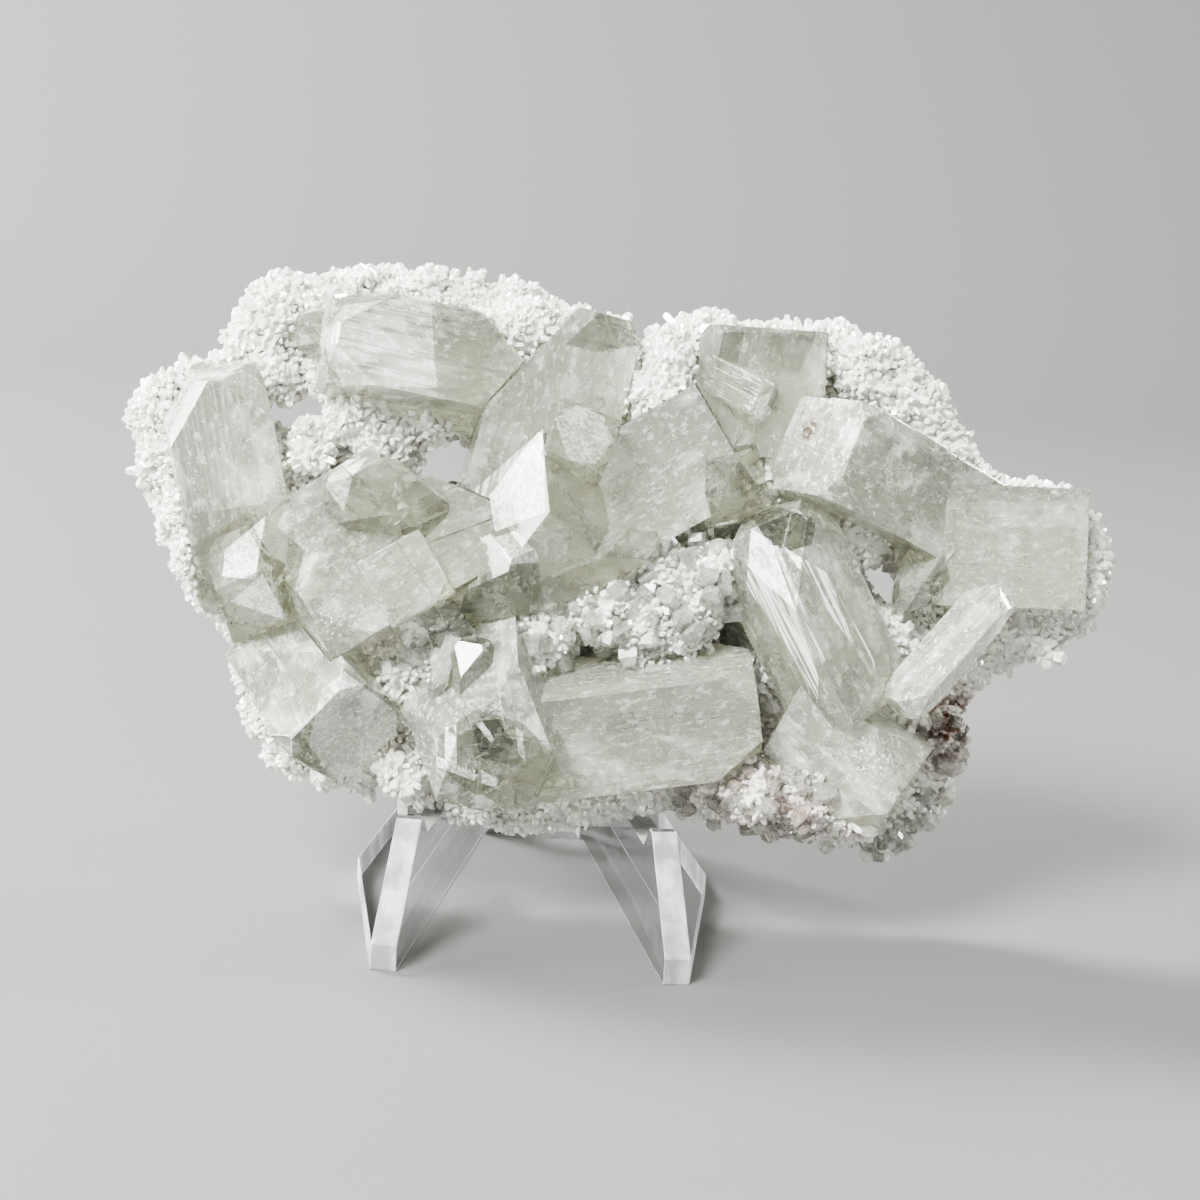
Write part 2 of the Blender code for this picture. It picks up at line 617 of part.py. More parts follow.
def build():
    """Make every piece and leave each as one object."""
    clear_scene()
    pieces = bpy.data.collections.new("apophyllite_cluster")
    tools = bpy.data.collections.new("cutters")
    tools.hide_render = True
    bpy.context.scene.collection.children.link(pieces)
    bpy.context.scene.collection.children.link(tools)

    crystal_look = material("clear_apophyllite", (0.80, 0.84, 0.77), 0.85, 0.08)
    druse_look = material("white_druse", (0.86, 0.86, 0.82), 0.2, 0.4)
    acrylic_look = material("clear_acrylic", (0.92, 0.94, 0.94), 0.95, 0.05)

    legs = {
        "stand_leg_left": -1,
        "stand_leg_right": 1,
    }
    stand_cutters = []
    for name, side in legs.items():
        leg(side, name, pieces).data.materials.append(acrylic_look)
        stand_cutters.append(leg(side, name + "_cutter", tools, grow=GAP))
    cross = cross_plate("stand_cross_plate", pieces)
    cross.data.materials.append(acrylic_look)

    earlier = list(stand_cutters)
    crystal_cutters = []
    seed = SEED
    for name, group in CRYSTAL_GROUPS.items():
        bodies = []
        own_cutters = []
        for index, measures in enumerate(group):
            seed += 1
            label = f"{name}_{index + 1}"
            body = mesh_of(crystal_shape(measures, seed), label)
            bodies.append(new_object(label, body, tools))
            cutter = mesh_of(crystal_shape(measures, seed, GAP), label + "_cutter")
            own_cutters.append(new_object(label + "_cutter", cutter, tools))
        whole = new_object(name, bodies[0].data.copy(), pieces)
        combine(whole, bodies[1:], "UNION")
        near = [cutter for cutter in earlier if boxes_meet(whole, cutter)]
        combine(whole, near, "DIFFERENCE")
        largest_body(whole.data)
        whole.data.materials.clear()
        whole.data.materials.append(crystal_look)
        earlier += own_cutters
        crystal_cutters += own_cutters
        for body in bodies:
            bpy.data.objects.remove(body)

    druse = druse_body("druse", pieces)
    points = druse_crystals(druse, crystal_cutters, tools)
    combine(druse, [points], "UNION")
    bpy.data.objects.remove(points)
    near = [cutter for cutter in earlier if boxes_meet(druse, cutter)]
    combine(druse, near, "DIFFERENCE")
    largest_body(druse.data)
    druse.data.materials.clear()
    druse.data.materials.append(druse_look)
    for cutter in earlier:
        bpy.data.objects.remove(cutter)
    centre_on_origin(pieces)


def corners(thing):
    """Lowest and highest corner of an object's mesh."""
    points = [vertex.co for vertex in thing.data.vertices]
    lowest = [min(point[axis] for point in points) for axis in range(3)]
    highest = [max(point[axis] for point in points) for axis in range(3)]
    return lowest, highest


def boxes_meet(one, other):
    """True if the boxes around two objects overlap."""
    one_low, one_high = corners(one)
    other_low, other_high = corners(other)
    return all(
        one_low[axis] < other_high[axis] and other_low[axis] < one_high[axis]
        for axis in range(3)
    )


def centre_on_origin(pieces):
    """Move the whole object so that the middle of its floor area is the origin."""
    boxes = [corners(thing) for thing in pieces.objects]
    middle = []
    for axis in range(2):
        low = min(box[0][axis] for box in boxes)
        high = max(box[1][axis] for box in boxes)
        middle.append((low + high) / 2)
    for thing in pieces.objects:
        thing.data.transform(Matrix.Translation((-middle[0], -middle[1], 0)))


build()
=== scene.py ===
"""Looks of the apophyllite cluster: glassy crystals on white druse, on a clear stand.

Lengths are written in millimetres. A place on the leaning plate of druse is given as
(across, up, out), as the plate is seen from VIEW_DISTANCE away.
"""

import math
import random

import bmesh
import bpy
from mathutils import Matrix, Vector, noise
from mathutils.bvhtree import BVHTree


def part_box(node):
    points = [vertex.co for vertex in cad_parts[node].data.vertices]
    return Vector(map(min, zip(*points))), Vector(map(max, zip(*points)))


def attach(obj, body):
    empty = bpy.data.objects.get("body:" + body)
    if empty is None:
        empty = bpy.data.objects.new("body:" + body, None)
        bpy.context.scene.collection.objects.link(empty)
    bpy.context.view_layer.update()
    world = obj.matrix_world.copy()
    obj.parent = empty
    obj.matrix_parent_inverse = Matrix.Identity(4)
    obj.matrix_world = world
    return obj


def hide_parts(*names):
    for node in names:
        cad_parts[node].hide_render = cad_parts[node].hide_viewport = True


MM = 0.001

# Pose of the plate of druse
LEAN = 11.4
ROLL = 3.55
PLATE_CENTRE = (5.5, 24.9, 40.9)
VIEW_DISTANCE = 280.0

# The stand: its sheet, and where its legs stand
SHEET = 3.18
TOE_SPACING = 34.7
LEG_ANGLE = 9.0
STAND_YAW = 2.1
LEG_LENGTH = 62.0
FOOT_WIDTH = 12.2
FOOT_CORNER = 31.0
TIP_TOP = 15.2
TIP_BACK = 12.9

# Crystals: slope of the pyramid faces, and the first seed of their unevenness
PYRAMID_ANGLE = 60.4
FIRST_SEED = 7

# Points this near, in metres, are one. Faces that turn less than FLAT_ANGLE are one, and
# edges sharper than the other angles are rounded
MERGE = 1e-6
FLAT_ANGLE = 0.4
SHARP_CRYSTAL_ANGLE = 14
SHARP_SHEET_ANGLE = 20
ROUNDING_PROFILE = 0.6
EDGE_ROUNDING = 0.20
SHEET_ROUNDING = 0.14

# Growth steps: height and slope, which faces have one, and where and how askew it lies
TERRACE_HEIGHT = (0.10, 0.26)
TERRACE_SLOPE = 0.12
SMALLEST_TERRACED_FACE = 14.0
MOST_TERRACED_CORNERS = 12
FACES_LEFT_PLAIN = 0.25
TERRACE_PLACE = (-0.3, 0.5)
TERRACE_SKEW = 0.2

# Looks from 0 to 1: how much the frost differs from face to face, and what the edges add: frost,
# partly wear and partly a painted highlight, and a painted sheen
FROST_TONES = 0.1
EDGE_WEAR_AND_SHEEN_FROST = 0.35
EDGE_PAINTED_SHEEN = 0.3

# How far apart the patterns of two crystals lie, in a group and from group to group
CRYSTAL_PATTERN_STEP = 40.0
GROUP_PATTERN_STEP = 3.0

# Fractures: least width of a crystal with one and with several, how many those have, the
# share that lies lengthwise, and how thick and wavy they are
FRACTURED_WIDTH = 7
MUCH_FRACTURED_WIDTH = 10
FRACTURES = 4
LENGTHWISE_FRACTURES = 0.4
FRACTURE_THICKNESS = 0.05
FRACTURE_WAVE = 0.22

# The druse's skin: its longest edges in two steps, how high and fine its roughness and its
# gaps are, and how near a crystal it is smooth, and how soon it is rough
CRUST_EDGES = (1.4, 1.0)
CRUST_ROUGHNESS = 0.55
CRUST_FINENESS = 420
CRUST_GAPS = 3.2
CRUST_GAP_FINENESS = 330
CRUST_GAP_THRESHOLD = 0.05
CRUST_SMOOTH = 0.35
CRUST_ROUGH = 1.2

# A face of the skin that is this near a crystal, and faces it, has no grains. The back is
# what faces the viewer less than BACK_FACING
WALL_DISTANCE = 0.6
BACK_FACING = -0.15

# Grains grow on the large crystals up to this far from the druse, measured this high above
# the faces, which are cut down to these lengths
FRINGE = 1.1
FRINGE_HEIGHT = 0.7
FRINGE_EDGES = (6.0, 3.0, 1.5)

# A grain's tip, as a share of its width, and how much higher its shoulder is than its middle
GRAIN_SHAPES = ((0.48, 0.26), (0.72, 0.34), (0.58, 0.16))
GRAIN_DENSITY = 3.0
FIRST_GRAIN_SEED = 5

# Light bends by this much in the crystal and in the sheet
CRYSTAL_IOR = 1.535
ACRYLIC_IOR = 1.49

# Places of the two looks of the stand on its pieces
CLEAR = 0
SAWN = 1

# Colours
CLEAR_CRYSTAL = (0.87, 0.89, 0.80, 1)
WHITE_CRYSTAL = (0.985, 0.985, 0.97, 1)
# Painted darkness of clear windows, for the dark surroundings seen through them
PAINTED_DARK_CRYSTAL = (0.22, 0.23, 0.22, 1)
INSIDE_CRYSTAL = (0.84, 0.85, 0.64, 1)
FRACTURE_SILVER = (0.93, 0.94, 0.93, 1)
WHITE_DRUSE = (0.945, 0.94, 0.905, 1)
DRUSE_SKIN_SHADE = (0.88, 0.875, 0.82, 1)
GRAIN_SHADE = (0.79, 0.785, 0.73, 1)
BLOCK_SHADE = (0.86, 0.87, 0.79, 1)
CLEAR_SHEET = (0.97, 0.98, 0.98, 1)
SAWN_GREY = (0.46, 0.46, 0.455, 1)
SAWN_WHITE = (0.68, 0.68, 0.67, 1)
FLOOR_GREY = (0.205, 0.205, 0.20, 1)

# Stains of the druse: place, how far off they begin and are full, in metres, colour, and the
# range of the noise that breaks them up
STAINS = (
    ((21.5, -25.0, 6.0), (0.016, 0.004), (0.72, 0.60, 0.54, 1), (0.42, 0.70, 0.0, 0.8)),
    ((44.6, -16.5, 0), (0.0070, 0.0025), (0.22, 0.13, 0.09, 1), (0.46, 0.56)),
)

# Specks on the crystals: place (across, up), reach, colour, and how much noise they need
SPECKS = (
    ((26.3, 21.2), 2.6, (0.13, 0.10, 0.08, 1), 0.40),
    ((-31.2, -13.6), 2.9, (0.36, 0.37, 0.36, 1), 0.46),
    ((-2.0, 20.6), 4.4, (0.50, 0.52, 0.52, 1), 0.56),
    ((33.8, -20.0), 4.0, (1.0, 1.0, 1.0, 1), 0.56),
    ((-32.5, -2.5), 4.5, (1.0, 1.0, 1.0, 1), 0.58),
)

# The floor in metres: half of its width, its front edge, and its sweep up to a wall
FLOOR_SIDE = 2.5
FLOOR_FRONT = -2.5
SWEEP_START = 0.6
SWEEP_RADIUS = 0.4
SWEEP_STEPS = 12
WALL_TOP = 1.6

# Soft lights: place and size in metres, and power in watts; all face LIT_PLACE
LIT_PLACE = (0, 0, 0.04)
LIGHTS = {
    "left window": ((-1.24, -0.29, 0.32), (0.62, 0.56), 18.0),
    "left front": ((-0.52, -0.76, 0.88), (0.44, 0.44), 27.0),
    "key": ((-0.75, 0.52, 0.98), (0.34, 0.34), 29.0),
    "right edge": ((1.10, 0.30, 0.30), (0.10, 0.60), 8.0),
    "front fill": ((0.35, -0.95, 0.22), (0.90, 0.50), 0.8),
}

# Light all round: from the viewer's side (y of the way -0.5) to behind the object (0.8), it
# grows from 0.25 to 0.56
ROUND_LIGHT = (-0.5, 0.8, 0.25, 0.56)

# The camera: a field of view of 30 degrees
LENS = 67.18
SENSOR = 36.0
NEAREST_SEEN = 0.01

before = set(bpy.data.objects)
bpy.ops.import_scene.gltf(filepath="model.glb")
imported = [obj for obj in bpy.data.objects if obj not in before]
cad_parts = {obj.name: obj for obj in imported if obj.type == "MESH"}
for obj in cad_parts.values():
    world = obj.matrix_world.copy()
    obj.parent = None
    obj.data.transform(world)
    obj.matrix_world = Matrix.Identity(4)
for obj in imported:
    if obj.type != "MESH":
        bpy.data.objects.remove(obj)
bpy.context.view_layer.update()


def plate_axes():
    """Unit vectors across, up and out of the leaning plate."""
    lean = math.radians(LEAN)
    roll = math.radians(ROLL)
    level = Vector((1, 0, 0))
    rise = Vector((0, math.sin(lean), math.cos(lean)))
    across = level * math.cos(roll) + rise * math.sin(roll)
    up = rise * math.cos(roll) - level * math.sin(roll)
    out = Vector((0, -math.cos(lean), math.sin(lean)))
    return across, up, out


ACROSS, UP, OUT = plate_axes()


def leg_place(side):
    """Matrix of a leg, before the whole object was centred: x outwards, y back."""
    turn = Matrix.Rotation(math.radians(STAND_YAW + side * LEG_ANGLE), 4, "Z")
    yaw = Matrix.Rotation(math.radians(STAND_YAW), 4, "Z")
    toe = yaw @ Vector(((side * (TOE_SPACING - SHEET) / 2) * MM, 0, 0))
    flip = Matrix.Scale(side, 4, (1, 0, 0))
    return Matrix.Translation(toe) @ turn @ flip


def centring():
    """How far the whole object was moved to stand over the origin."""
    foot = [
        (0, 0), (SHEET, 0), (FOOT_WIDTH, FOOT_CORNER), (FOOT_WIDTH, LEG_LENGTH),
        (0, LEG_LENGTH),
    ]
    place = leg_place(-1)
    corners = [place @ Vector((x * MM, y * MM, 0)) for x, y in foot]
    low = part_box("stand_leg_left")[0]
    return Vector((
        low[0] - min(corner.x for corner in corners),
        low[1] - min(corner.y for corner in corners),
        0,
    ))


SHIFT = centring()


def on_plate(across, up, out):
    """World place of a point of the plate, in metres."""
    nearer = 1 - out / VIEW_DISTANCE
    place = Vector(PLATE_CENTRE) + (ACROSS * across + UP * up) * nearer + OUT * out
    return place * MM + SHIFT


def plate_coordinates(point):
    """Across and up of a world point, in millimetres."""
    away = (Vector(point) - SHIFT) / MM - Vector(PLATE_CENTRE)
    nearer = 1 - away.dot(OUT) / VIEW_DISTANCE
    return away.dot(ACROSS) / nearer, away.dot(UP) / nearer


# Where the plate is seen from
EYE = on_plate(0, 0, VIEW_DISTANCE)


def crystal(
    head, heading, tilt, size, flat=0.6, back=None, spin=0.0, turn=45.0, uneven=0.12, trim=(),
    frost=0.3,
):
    """One crystal's measures, as in the solids, and how frosted it looks from 0 to 1."""
    return {
        "head": head, "heading": heading, "tilt": tilt, "size": size, "flat": flat,
        "back": back, "spin": spin, "turn": turn, "uneven": uneven, "trim": trim,
        "frost": frost,
    }


# Every large crystal, in the groups that grew into one another
CRYSTAL_GROUPS = {
    "crystals_lower_right": [
        crystal(
            (21.4, 10.6, 7.0), 117, 12, (13.6, 13.0, 26.0), flat=0.42, spin=27,
            trim=[((0.89, -0.45, 0), 6.4)], frost=0.42,
        ),
        crystal((38.4, -23.6, 2.6), -33, 14, (12.4, 12.0, 17.0), flat=0.62, spin=18, frost=0.5),
    ],
    "crystals_bottom": [
        crystal((-13.4, -21.6, 12.5), -84, 52, (16.0, 14.5, 23.0), flat=0.55, spin=24, frost=0.62),
        crystal((19.4, -13.0, 2.5), 7, 0, (13.4, 13.0, 31.0), flat=0.62, spin=22, frost=0.5),
        crystal((-15.6, -5.0, 9.0), 84, 14, (5.4, 5.0, 11.0), flat=0.4, spin=30, frost=0.15),
        crystal((-20.6, -12.6, 8.0), 248, 8, (2.2, 3.6, 8.0), flat=0.3, spin=20, frost=0.3),
    ],
    "crystals_left": [
        crystal(
            (-49.0, 28.7, 2.6), 97.5, 20, (12.8, 11.5, 29.5), flat=0.5, spin=12, back=0.8,
            trim=[((-0.79, 0, 0.62), 1.4)], frost=0.5,
        ),
        crystal((-41.6, 4.0, 12.2), 20, 78, (12.6, 12.0, 19.0), flat=0.05, spin=0, frost=0.08),
        crystal((-40.6, 4.8, 4.6), 212, 6, (11.0, 10.0, 17.5), flat=0.7, spin=0, frost=0.45),
        crystal(
            (-37.2, -1.8, 7.2), 209.5, 15, (13.8, 12.0, 26.0), flat=0.58, spin=4,
            trim=[((0.6, 0, -0.8), 21.0)], frost=0.48,
        ),
        crystal((-20.4, 4.8, 8.4), 29.5, -4, (8.6, 7.0, 8.6), flat=0.8, spin=2, frost=0.5),
        crystal(
            (-34.4, 13.4, 10.5), 172, 16, (7.8, 7.6, 15.0), flat=0.3, back=0.25, spin=28,
            frost=0.12,
        ),
    ],
    "crystal_bottom_left": [
        crystal((-31.6, -16.4, 7.5), -52, 44, (13.0, 12.0, 19.5), flat=0.76, spin=10, frost=0.4),
    ],
    "crystals_centre": [
        crystal(
            (0.4, 35.4, -0.5), 76, 0, (24.0, 11.0, 31.0), flat=0.62, spin=8, turn=0,
            trim=[((1, 0, 0), 4.6)], frost=0.45,
        ),
        crystal((-7.3, 21.0, 10.5), 94, 32, (14.0, 13.0, 26.0), flat=0.04, spin=2, frost=0.18),
        crystal((-2.0, 20.6, 12.0), 60, 74, (7.6, 7.0, 12.0), flat=0.9, spin=10, frost=0.2),
        crystal((-10.9, 7.4, 9.5), 70, 48, (8.0, 7.8, 10.5), flat=0.36, spin=8, frost=0.12),
        crystal((15.2, 20.6, 0.5), 30, 2, (15.0, 12.5, 25.0), flat=0.8, spin=6, frost=0.5),
        crystal((7.2, 7.8, 6.5), 22, 12, (6.4, 5.6, 13.0), flat=0.2, spin=45, frost=0.2),
        crystal(
            (17.6, 17.4, 11.5), 75, 72, (7.8, 7.8, 12.0), flat=0.0, spin=-60, turn=0,
            frost=0.12,
        ),
    ],
    "crystals_top_left": [
        crystal(
            (-34.2, 32.0, 6.5), 170, 20, (11.8, 12.0, 24.0), flat=0.64, back=0.6, spin=14,
            frost=0.4,
        ),
        crystal((-27.0, 26.2, 2.4), 174, 10, (6.6, 6.6, 16.0), flat=0.5, spin=42, frost=0.45),
        crystal((-38.2, 34.4, 0.8), 162, 8, (5.6, 5.4, 10.0), flat=0.4, spin=30, frost=0.4),
    ],
    "crystals_top_right": [
        crystal((20.2, 33.3, -1.0), 86, -3, (15.6, 8.5, 16.0), flat=0.9, spin=0, frost=0.3),
        crystal((20.6, 24.8, 6.5), -32, 34, (4.4, 4.0, 10.0), flat=0.9, spin=6, frost=0.1),
    ],
    "crystals_right": [
        crystal(
            (27.2, 20.6, 8.8), 154, 36, (14.8, 14.4, 26.0), flat=0.74, spin=6,
            trim=[((1, 0, 0), 4.8)], frost=0.5,
        ),
        crystal((36.8, -1.8, 3.0), 228, 12, (5.6, 5.2, 14.0), flat=0.1, spin=45, frost=0.15),
        crystal((39.4, -0.4, 1.0), 246, 8, (5.2, 5.0, 14.0), flat=0.1, spin=20, frost=0.2),
        crystal((59.4, 6.2, -2.0), -2, -6, (15.0, 9.5, 18.0), flat=0.9, spin=0, frost=0.5),
        crystal(
            (37.2, -13.6, 8.5), 227, 12, (5.2, 4.6, 19.5), flat=0.5, back=0.5, spin=28,
            frost=0.75,
        ),
    ],
}


def patch(corners, painted_sheen=0.0, frost=None, painted_dark=0.0):
    """A patch of a group's faces by its corners (across, up), and its painted sheen, frost and
    painted darkness from 0 to 1.
    """
    return {"corners": corners, "painted_sheen": painted_sheen, "frost": frost, "painted_dark": painted_dark}


# Facets with a painted sheen where light flashes, frosted ends, and clear windows painted dark, as
# the plate is seen
PATCHES = {
    "crystals_left": [
        patch([(-56.2, 28.5), (-43.8, 29.2), (-37.5, 20.0), (-42.2, 12.1), (-53.5, 10.4)],
              painted_sheen=0.1, frost=0.85),
        patch([(-48.9, 26.8), (-44.1, 28.2), (-43.2, 25.1), (-48.1, 23.2)], frost=0.45, painted_sheen=0.3),
        patch([(-53.5, 10.4), (-42.2, 12.1), (-37.5, 15.0), (-45.0, 0.0), (-51.2, 0.0)],
              frost=0.08),
        patch([(-47.2, 3.0), (-46.9, 6.2), (-41.8, 10.5), (-43.2, 2.5)], painted_sheen=0.95),
        patch([(-46.2, -0.2), (-41.2, 4.0), (-39.1, -2.6)], painted_sheen=1.0),
        patch([(-41.5, 10.2), (-36.9, 6.2), (-39.1, -2.2), (-42.8, 4.2)], frost=0.0, painted_dark=0.1),
        patch([(-37.2, 4.9), (-31.9, 7.8), (-28.4, 1.6), (-25.0, -3.1), (-32.1, -7.6),
               (-37.8, -1.8)], frost=0.6),
        patch([(-28.4, 1.9), (-20.9, 5.0), (-18.1, 1.2), (-25.0, -2.8)], frost=0.45),
        patch([(-34.4, 14.5), (-32.8, 17.4), (-31.0, 15.2), (-32.1, 11.0)], painted_sheen=0.45),
        patch([(-32.8, 17.4), (-29.2, 17.8), (-30.8, 15.5)], painted_sheen=0.95),
    ],
    "crystals_top_left": [
        patch([(-34.4, 33.8), (-31.9, 36.9), (-21.2, 38.2), (-20.4, 26.5), (-31.9, 26.9),
               (-34.0, 30.0)], painted_sheen=0.25, frost=0.75),
        patch([(-20.3, 38.2), (-11.9, 35.0), (-10.0, 27.5), (-12.5, 23.8), (-20.3, 25.0)],
              frost=0.3),
    ],
    "crystals_centre": [
        patch([(-15.6, 13.9), (-7.1, 21.4), (-6.9, 11.0), (-12.9, 8.6), (-15.4, 8.6)], painted_sheen=0.8),
        patch([(-13.2, 7.8), (-9.5, 9.1), (-8.1, 6.2), (-6.8, 4.9), (-11.2, 4.4)], painted_sheen=0.65),
        patch([(-5.6, 22.6), (-2.9, 24.4), (0.4, 23.0), (1.6, 20.0), (-0.6, 17.0), (-3.9, 17.2)],
              painted_sheen=0.25, frost=0.3),
        patch([(-4.4, 31.9), (0.0, 36.0), (5.0, 34.4), (5.2, 31.9), (0.0, 31.0)],
              frost=0.1, painted_dark=0.25),
    ],
    "crystals_top_right": [
        patch([(15.4, 33.5), (18.1, 33.5), (16.9, 28.5), (14.4, 28.5)], frost=0.1, painted_dark=0.22),
        patch([(21.2, 33.5), (27.1, 33.2), (25.0, 28.5), (20.6, 28.5)], frost=0.1, painted_dark=0.2),
        patch([(18.0, 24.5), (20.1, 25.6), (21.6, 23.5), (19.6, 22.0)], painted_sheen=1.0),
    ],
    "crystals_right": [
        patch([(21.8, 20.4), (28.0, 28.5), (30.2, 28.8), (36.4, 23.5), (36.9, 20.9), (27.1, 12.1),
               (21.5, 16.9)], frost=0.75),
        patch([(37.2, -2.9), (43.0, 5.9), (43.8, 2.5), (39.4, -3.1)], frost=0.0, painted_dark=0.5),
    ],
    "crystals_lower_right": [
        patch([(19.2, 10.1), (22.4, 11.6), (27.1, 10.1), (26.5, 6.9), (23.6, 6.1), (21.0, 7.1)],
              frost=0.0, painted_dark=0.55),
        patch([(18.9, 8.9), (21.4, 7.4), (27.3, -9.6), (27.2, -12.6), (18.3, 1.9)], painted_sheen=1.0),
        patch([(23.0, 6.6), (28.2, 3.5), (34.3, -7.4), (34.4, -9.8)], painted_sheen=1.0),
        patch([(21.6, 6.8), (22.2, 6.8), (28.2, -7.5), (27.8, -8.0)], painted_sheen=0.6),
    ],
    "crystals_bottom": [
        patch([(-20.2, -17.0), (-15.6, -13.6), (-9.6, -15.4), (-5.0, -20.2), (-5.4, -25.2),
               (-10.6, -26.2), (-17.0, -23.6), (-20.4, -20.6)], frost=0.10),
        patch([(-19.4, -15.9), (-18.0, -15.6), (-17.9, -20.8), (-19.4, -20.5)], painted_sheen=1.0),
        patch([(-20.4, -19.5), (-15.2, -21.9), (-15.8, -22.6), (-20.5, -20.8)], painted_sheen=1.0),
        patch([(-14.9, -21.2), (-12.6, -22.5), (-13.1, -23.4), (-14.8, -22.9)], painted_sheen=1.0),
        patch([(-16.2, -15.4), (-12.8, -14.8), (-10.8, -17.8), (-11.8, -20.4), (-14.8, -19.8)],
              frost=0.0, painted_dark=0.7),
        patch([(-15.6, -15.4), (-14.7, -15.2), (-13.2, -17.4), (-13.5, -18.0)], painted_sheen=0.8),
        patch([(-10.6, -15.8), (-9.7, -16.6), (-9.3, -20.2), (-10.2, -19.2)], painted_sheen=0.7),
    ],
    "crystal_bottom_left": [
        patch([(-34.8, -11.2), (-31.9, -9.0), (-25.4, -14.0), (-25.4, -20.0), (-31.9, -23.5),
               (-36.5, -18.1)], painted_sheen=0.5, frost=0.85),
    ],
}


def crystal_frame(measures):
    """Where a crystal's end face lies, and its directions: wide, deep and lengthwise."""
    heading = math.radians(measures["heading"])
    tilt = math.radians(measures["tilt"])
    along = (ACROSS * math.cos(heading) + UP * math.sin(heading)) * math.cos(tilt)
    along = along + OUT * math.sin(tilt)
    sideways = ACROSS * math.sin(heading) - UP * math.cos(heading)
    wide = Matrix.Rotation(math.radians(measures["spin"]), 3, along) @ sideways
    deep = along.cross(wide)
    place = Matrix((wide, deep, along)).transposed().to_4x4()
    place.translation = on_plate(*measures["head"])
    return place


def crystal_planes(measures, seed):
    """A crystal's faces as (normal, distance) in its own frame, in millimetres."""
    width, depth, length = measures["size"]
    planes = [
        (Vector((1, 0, 0)), width / 2), (Vector((-1, 0, 0)), width / 2),
        (Vector((0, 1, 0)), depth / 2), (Vector((0, -1, 0)), depth / 2),
        (Vector((0, 0, 1)), 0), (Vector((0, 0, -1)), length),
    ]
    dice = random.Random(seed)
    slope = math.radians(PYRAMID_ANGLE)
    reach = min(width, depth) / 2
    if measures["turn"]:
        reach = math.hypot(width, depth) / 2
    ends = [(measures["flat"], 1, 0)]
    if measures["back"] is not None:
        ends.append((measures["back"], -1, length))
    for flat, side, beyond in ends:
        for quarter in range(4):
            around = math.radians(measures["turn"] + 90 * quarter)
            normal = Vector((
                math.sin(slope) * math.cos(around),
                math.sin(slope) * math.sin(around),
                math.cos(slope) * side,
            ))
            spread = dice.uniform(-measures["uneven"], measures["uneven"])
            distance = flat * (1 + spread) * reach * math.sin(slope)
            planes.append((normal, distance + beyond * math.cos(slope)))
    for direction, distance in measures["trim"]:
        planes.append((Vector(direction).normalized(), distance))
    return planes


def new_object(name, mesh):
    """A new object of this mesh, in the scene."""
    thing = bpy.data.objects.new(name, mesh)
    bpy.context.scene.collection.objects.link(thing)
    return thing


def merged_copy(node):
    """The solid's own mesh with its triangles joined, as a bmesh."""
    shape = bmesh.new()
    shape.from_mesh(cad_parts[node].data)
    bmesh.ops.remove_doubles(shape, verts=shape.verts, dist=MERGE)
    return shape


def flat_copy(node):
    """The solid's own mesh with whole flat faces, as a bmesh."""
    shape = merged_copy(node)
    bmesh.ops.dissolve_limit(
        shape, angle_limit=math.radians(FLAT_ANGLE), verts=shape.verts, edges=shape.edges,
    )
    return shape


def sharp_edges(shape, angle):
    """The edges whose faces turn by more than an angle."""
    return [
        edge for edge in shape.edges
        if len(edge.link_faces) == 2 and edge.calc_face_angle(0) > math.radians(angle)
    ]


def round_edges(shape, edges, size, material=-1):
    """Round these edges, and give back the faces that the rounding made."""
    return bmesh.ops.bevel(
        shape, geom=edges, offset=size * MM, segments=2, profile=ROUNDING_PROFILE,
        affect="EDGES", clamp_overlap=True, material=material,
    )["faces"]


def cut_down(shape, steps):
    """Halve the edges longer than each step's length, one step after another."""
    for longest in steps:
        bmesh.ops.subdivide_edges(
            shape, edges=[edge for edge in shape.edges if edge.calc_length() > longest * MM],
            cuts=1, use_grid_fill=False,
        )
        bmesh.ops.triangulate(shape, faces=shape.faces)


def finish_mesh(shape, name):
    """The bmesh as a mesh."""
    mesh = bpy.data.meshes.new(name)
    shape.to_mesh(mesh)
    shape.free()
    return mesh


def evaluated_mesh(thing, name):
    """The object's mesh as its modifiers leave it."""
    bpy.context.view_layer.update()
    depsgraph = bpy.context.evaluated_depsgraph_get()
    mesh = bpy.data.meshes.new_from_object(thing.evaluated_get(depsgraph))
    mesh.name = name
    return mesh


def hand_in(piece, slot, *nodes):
    """Let a finished piece ride on the object, in the place of the solids it stands for."""
    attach(piece, "root")
    if nodes:
        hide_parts(*nodes)


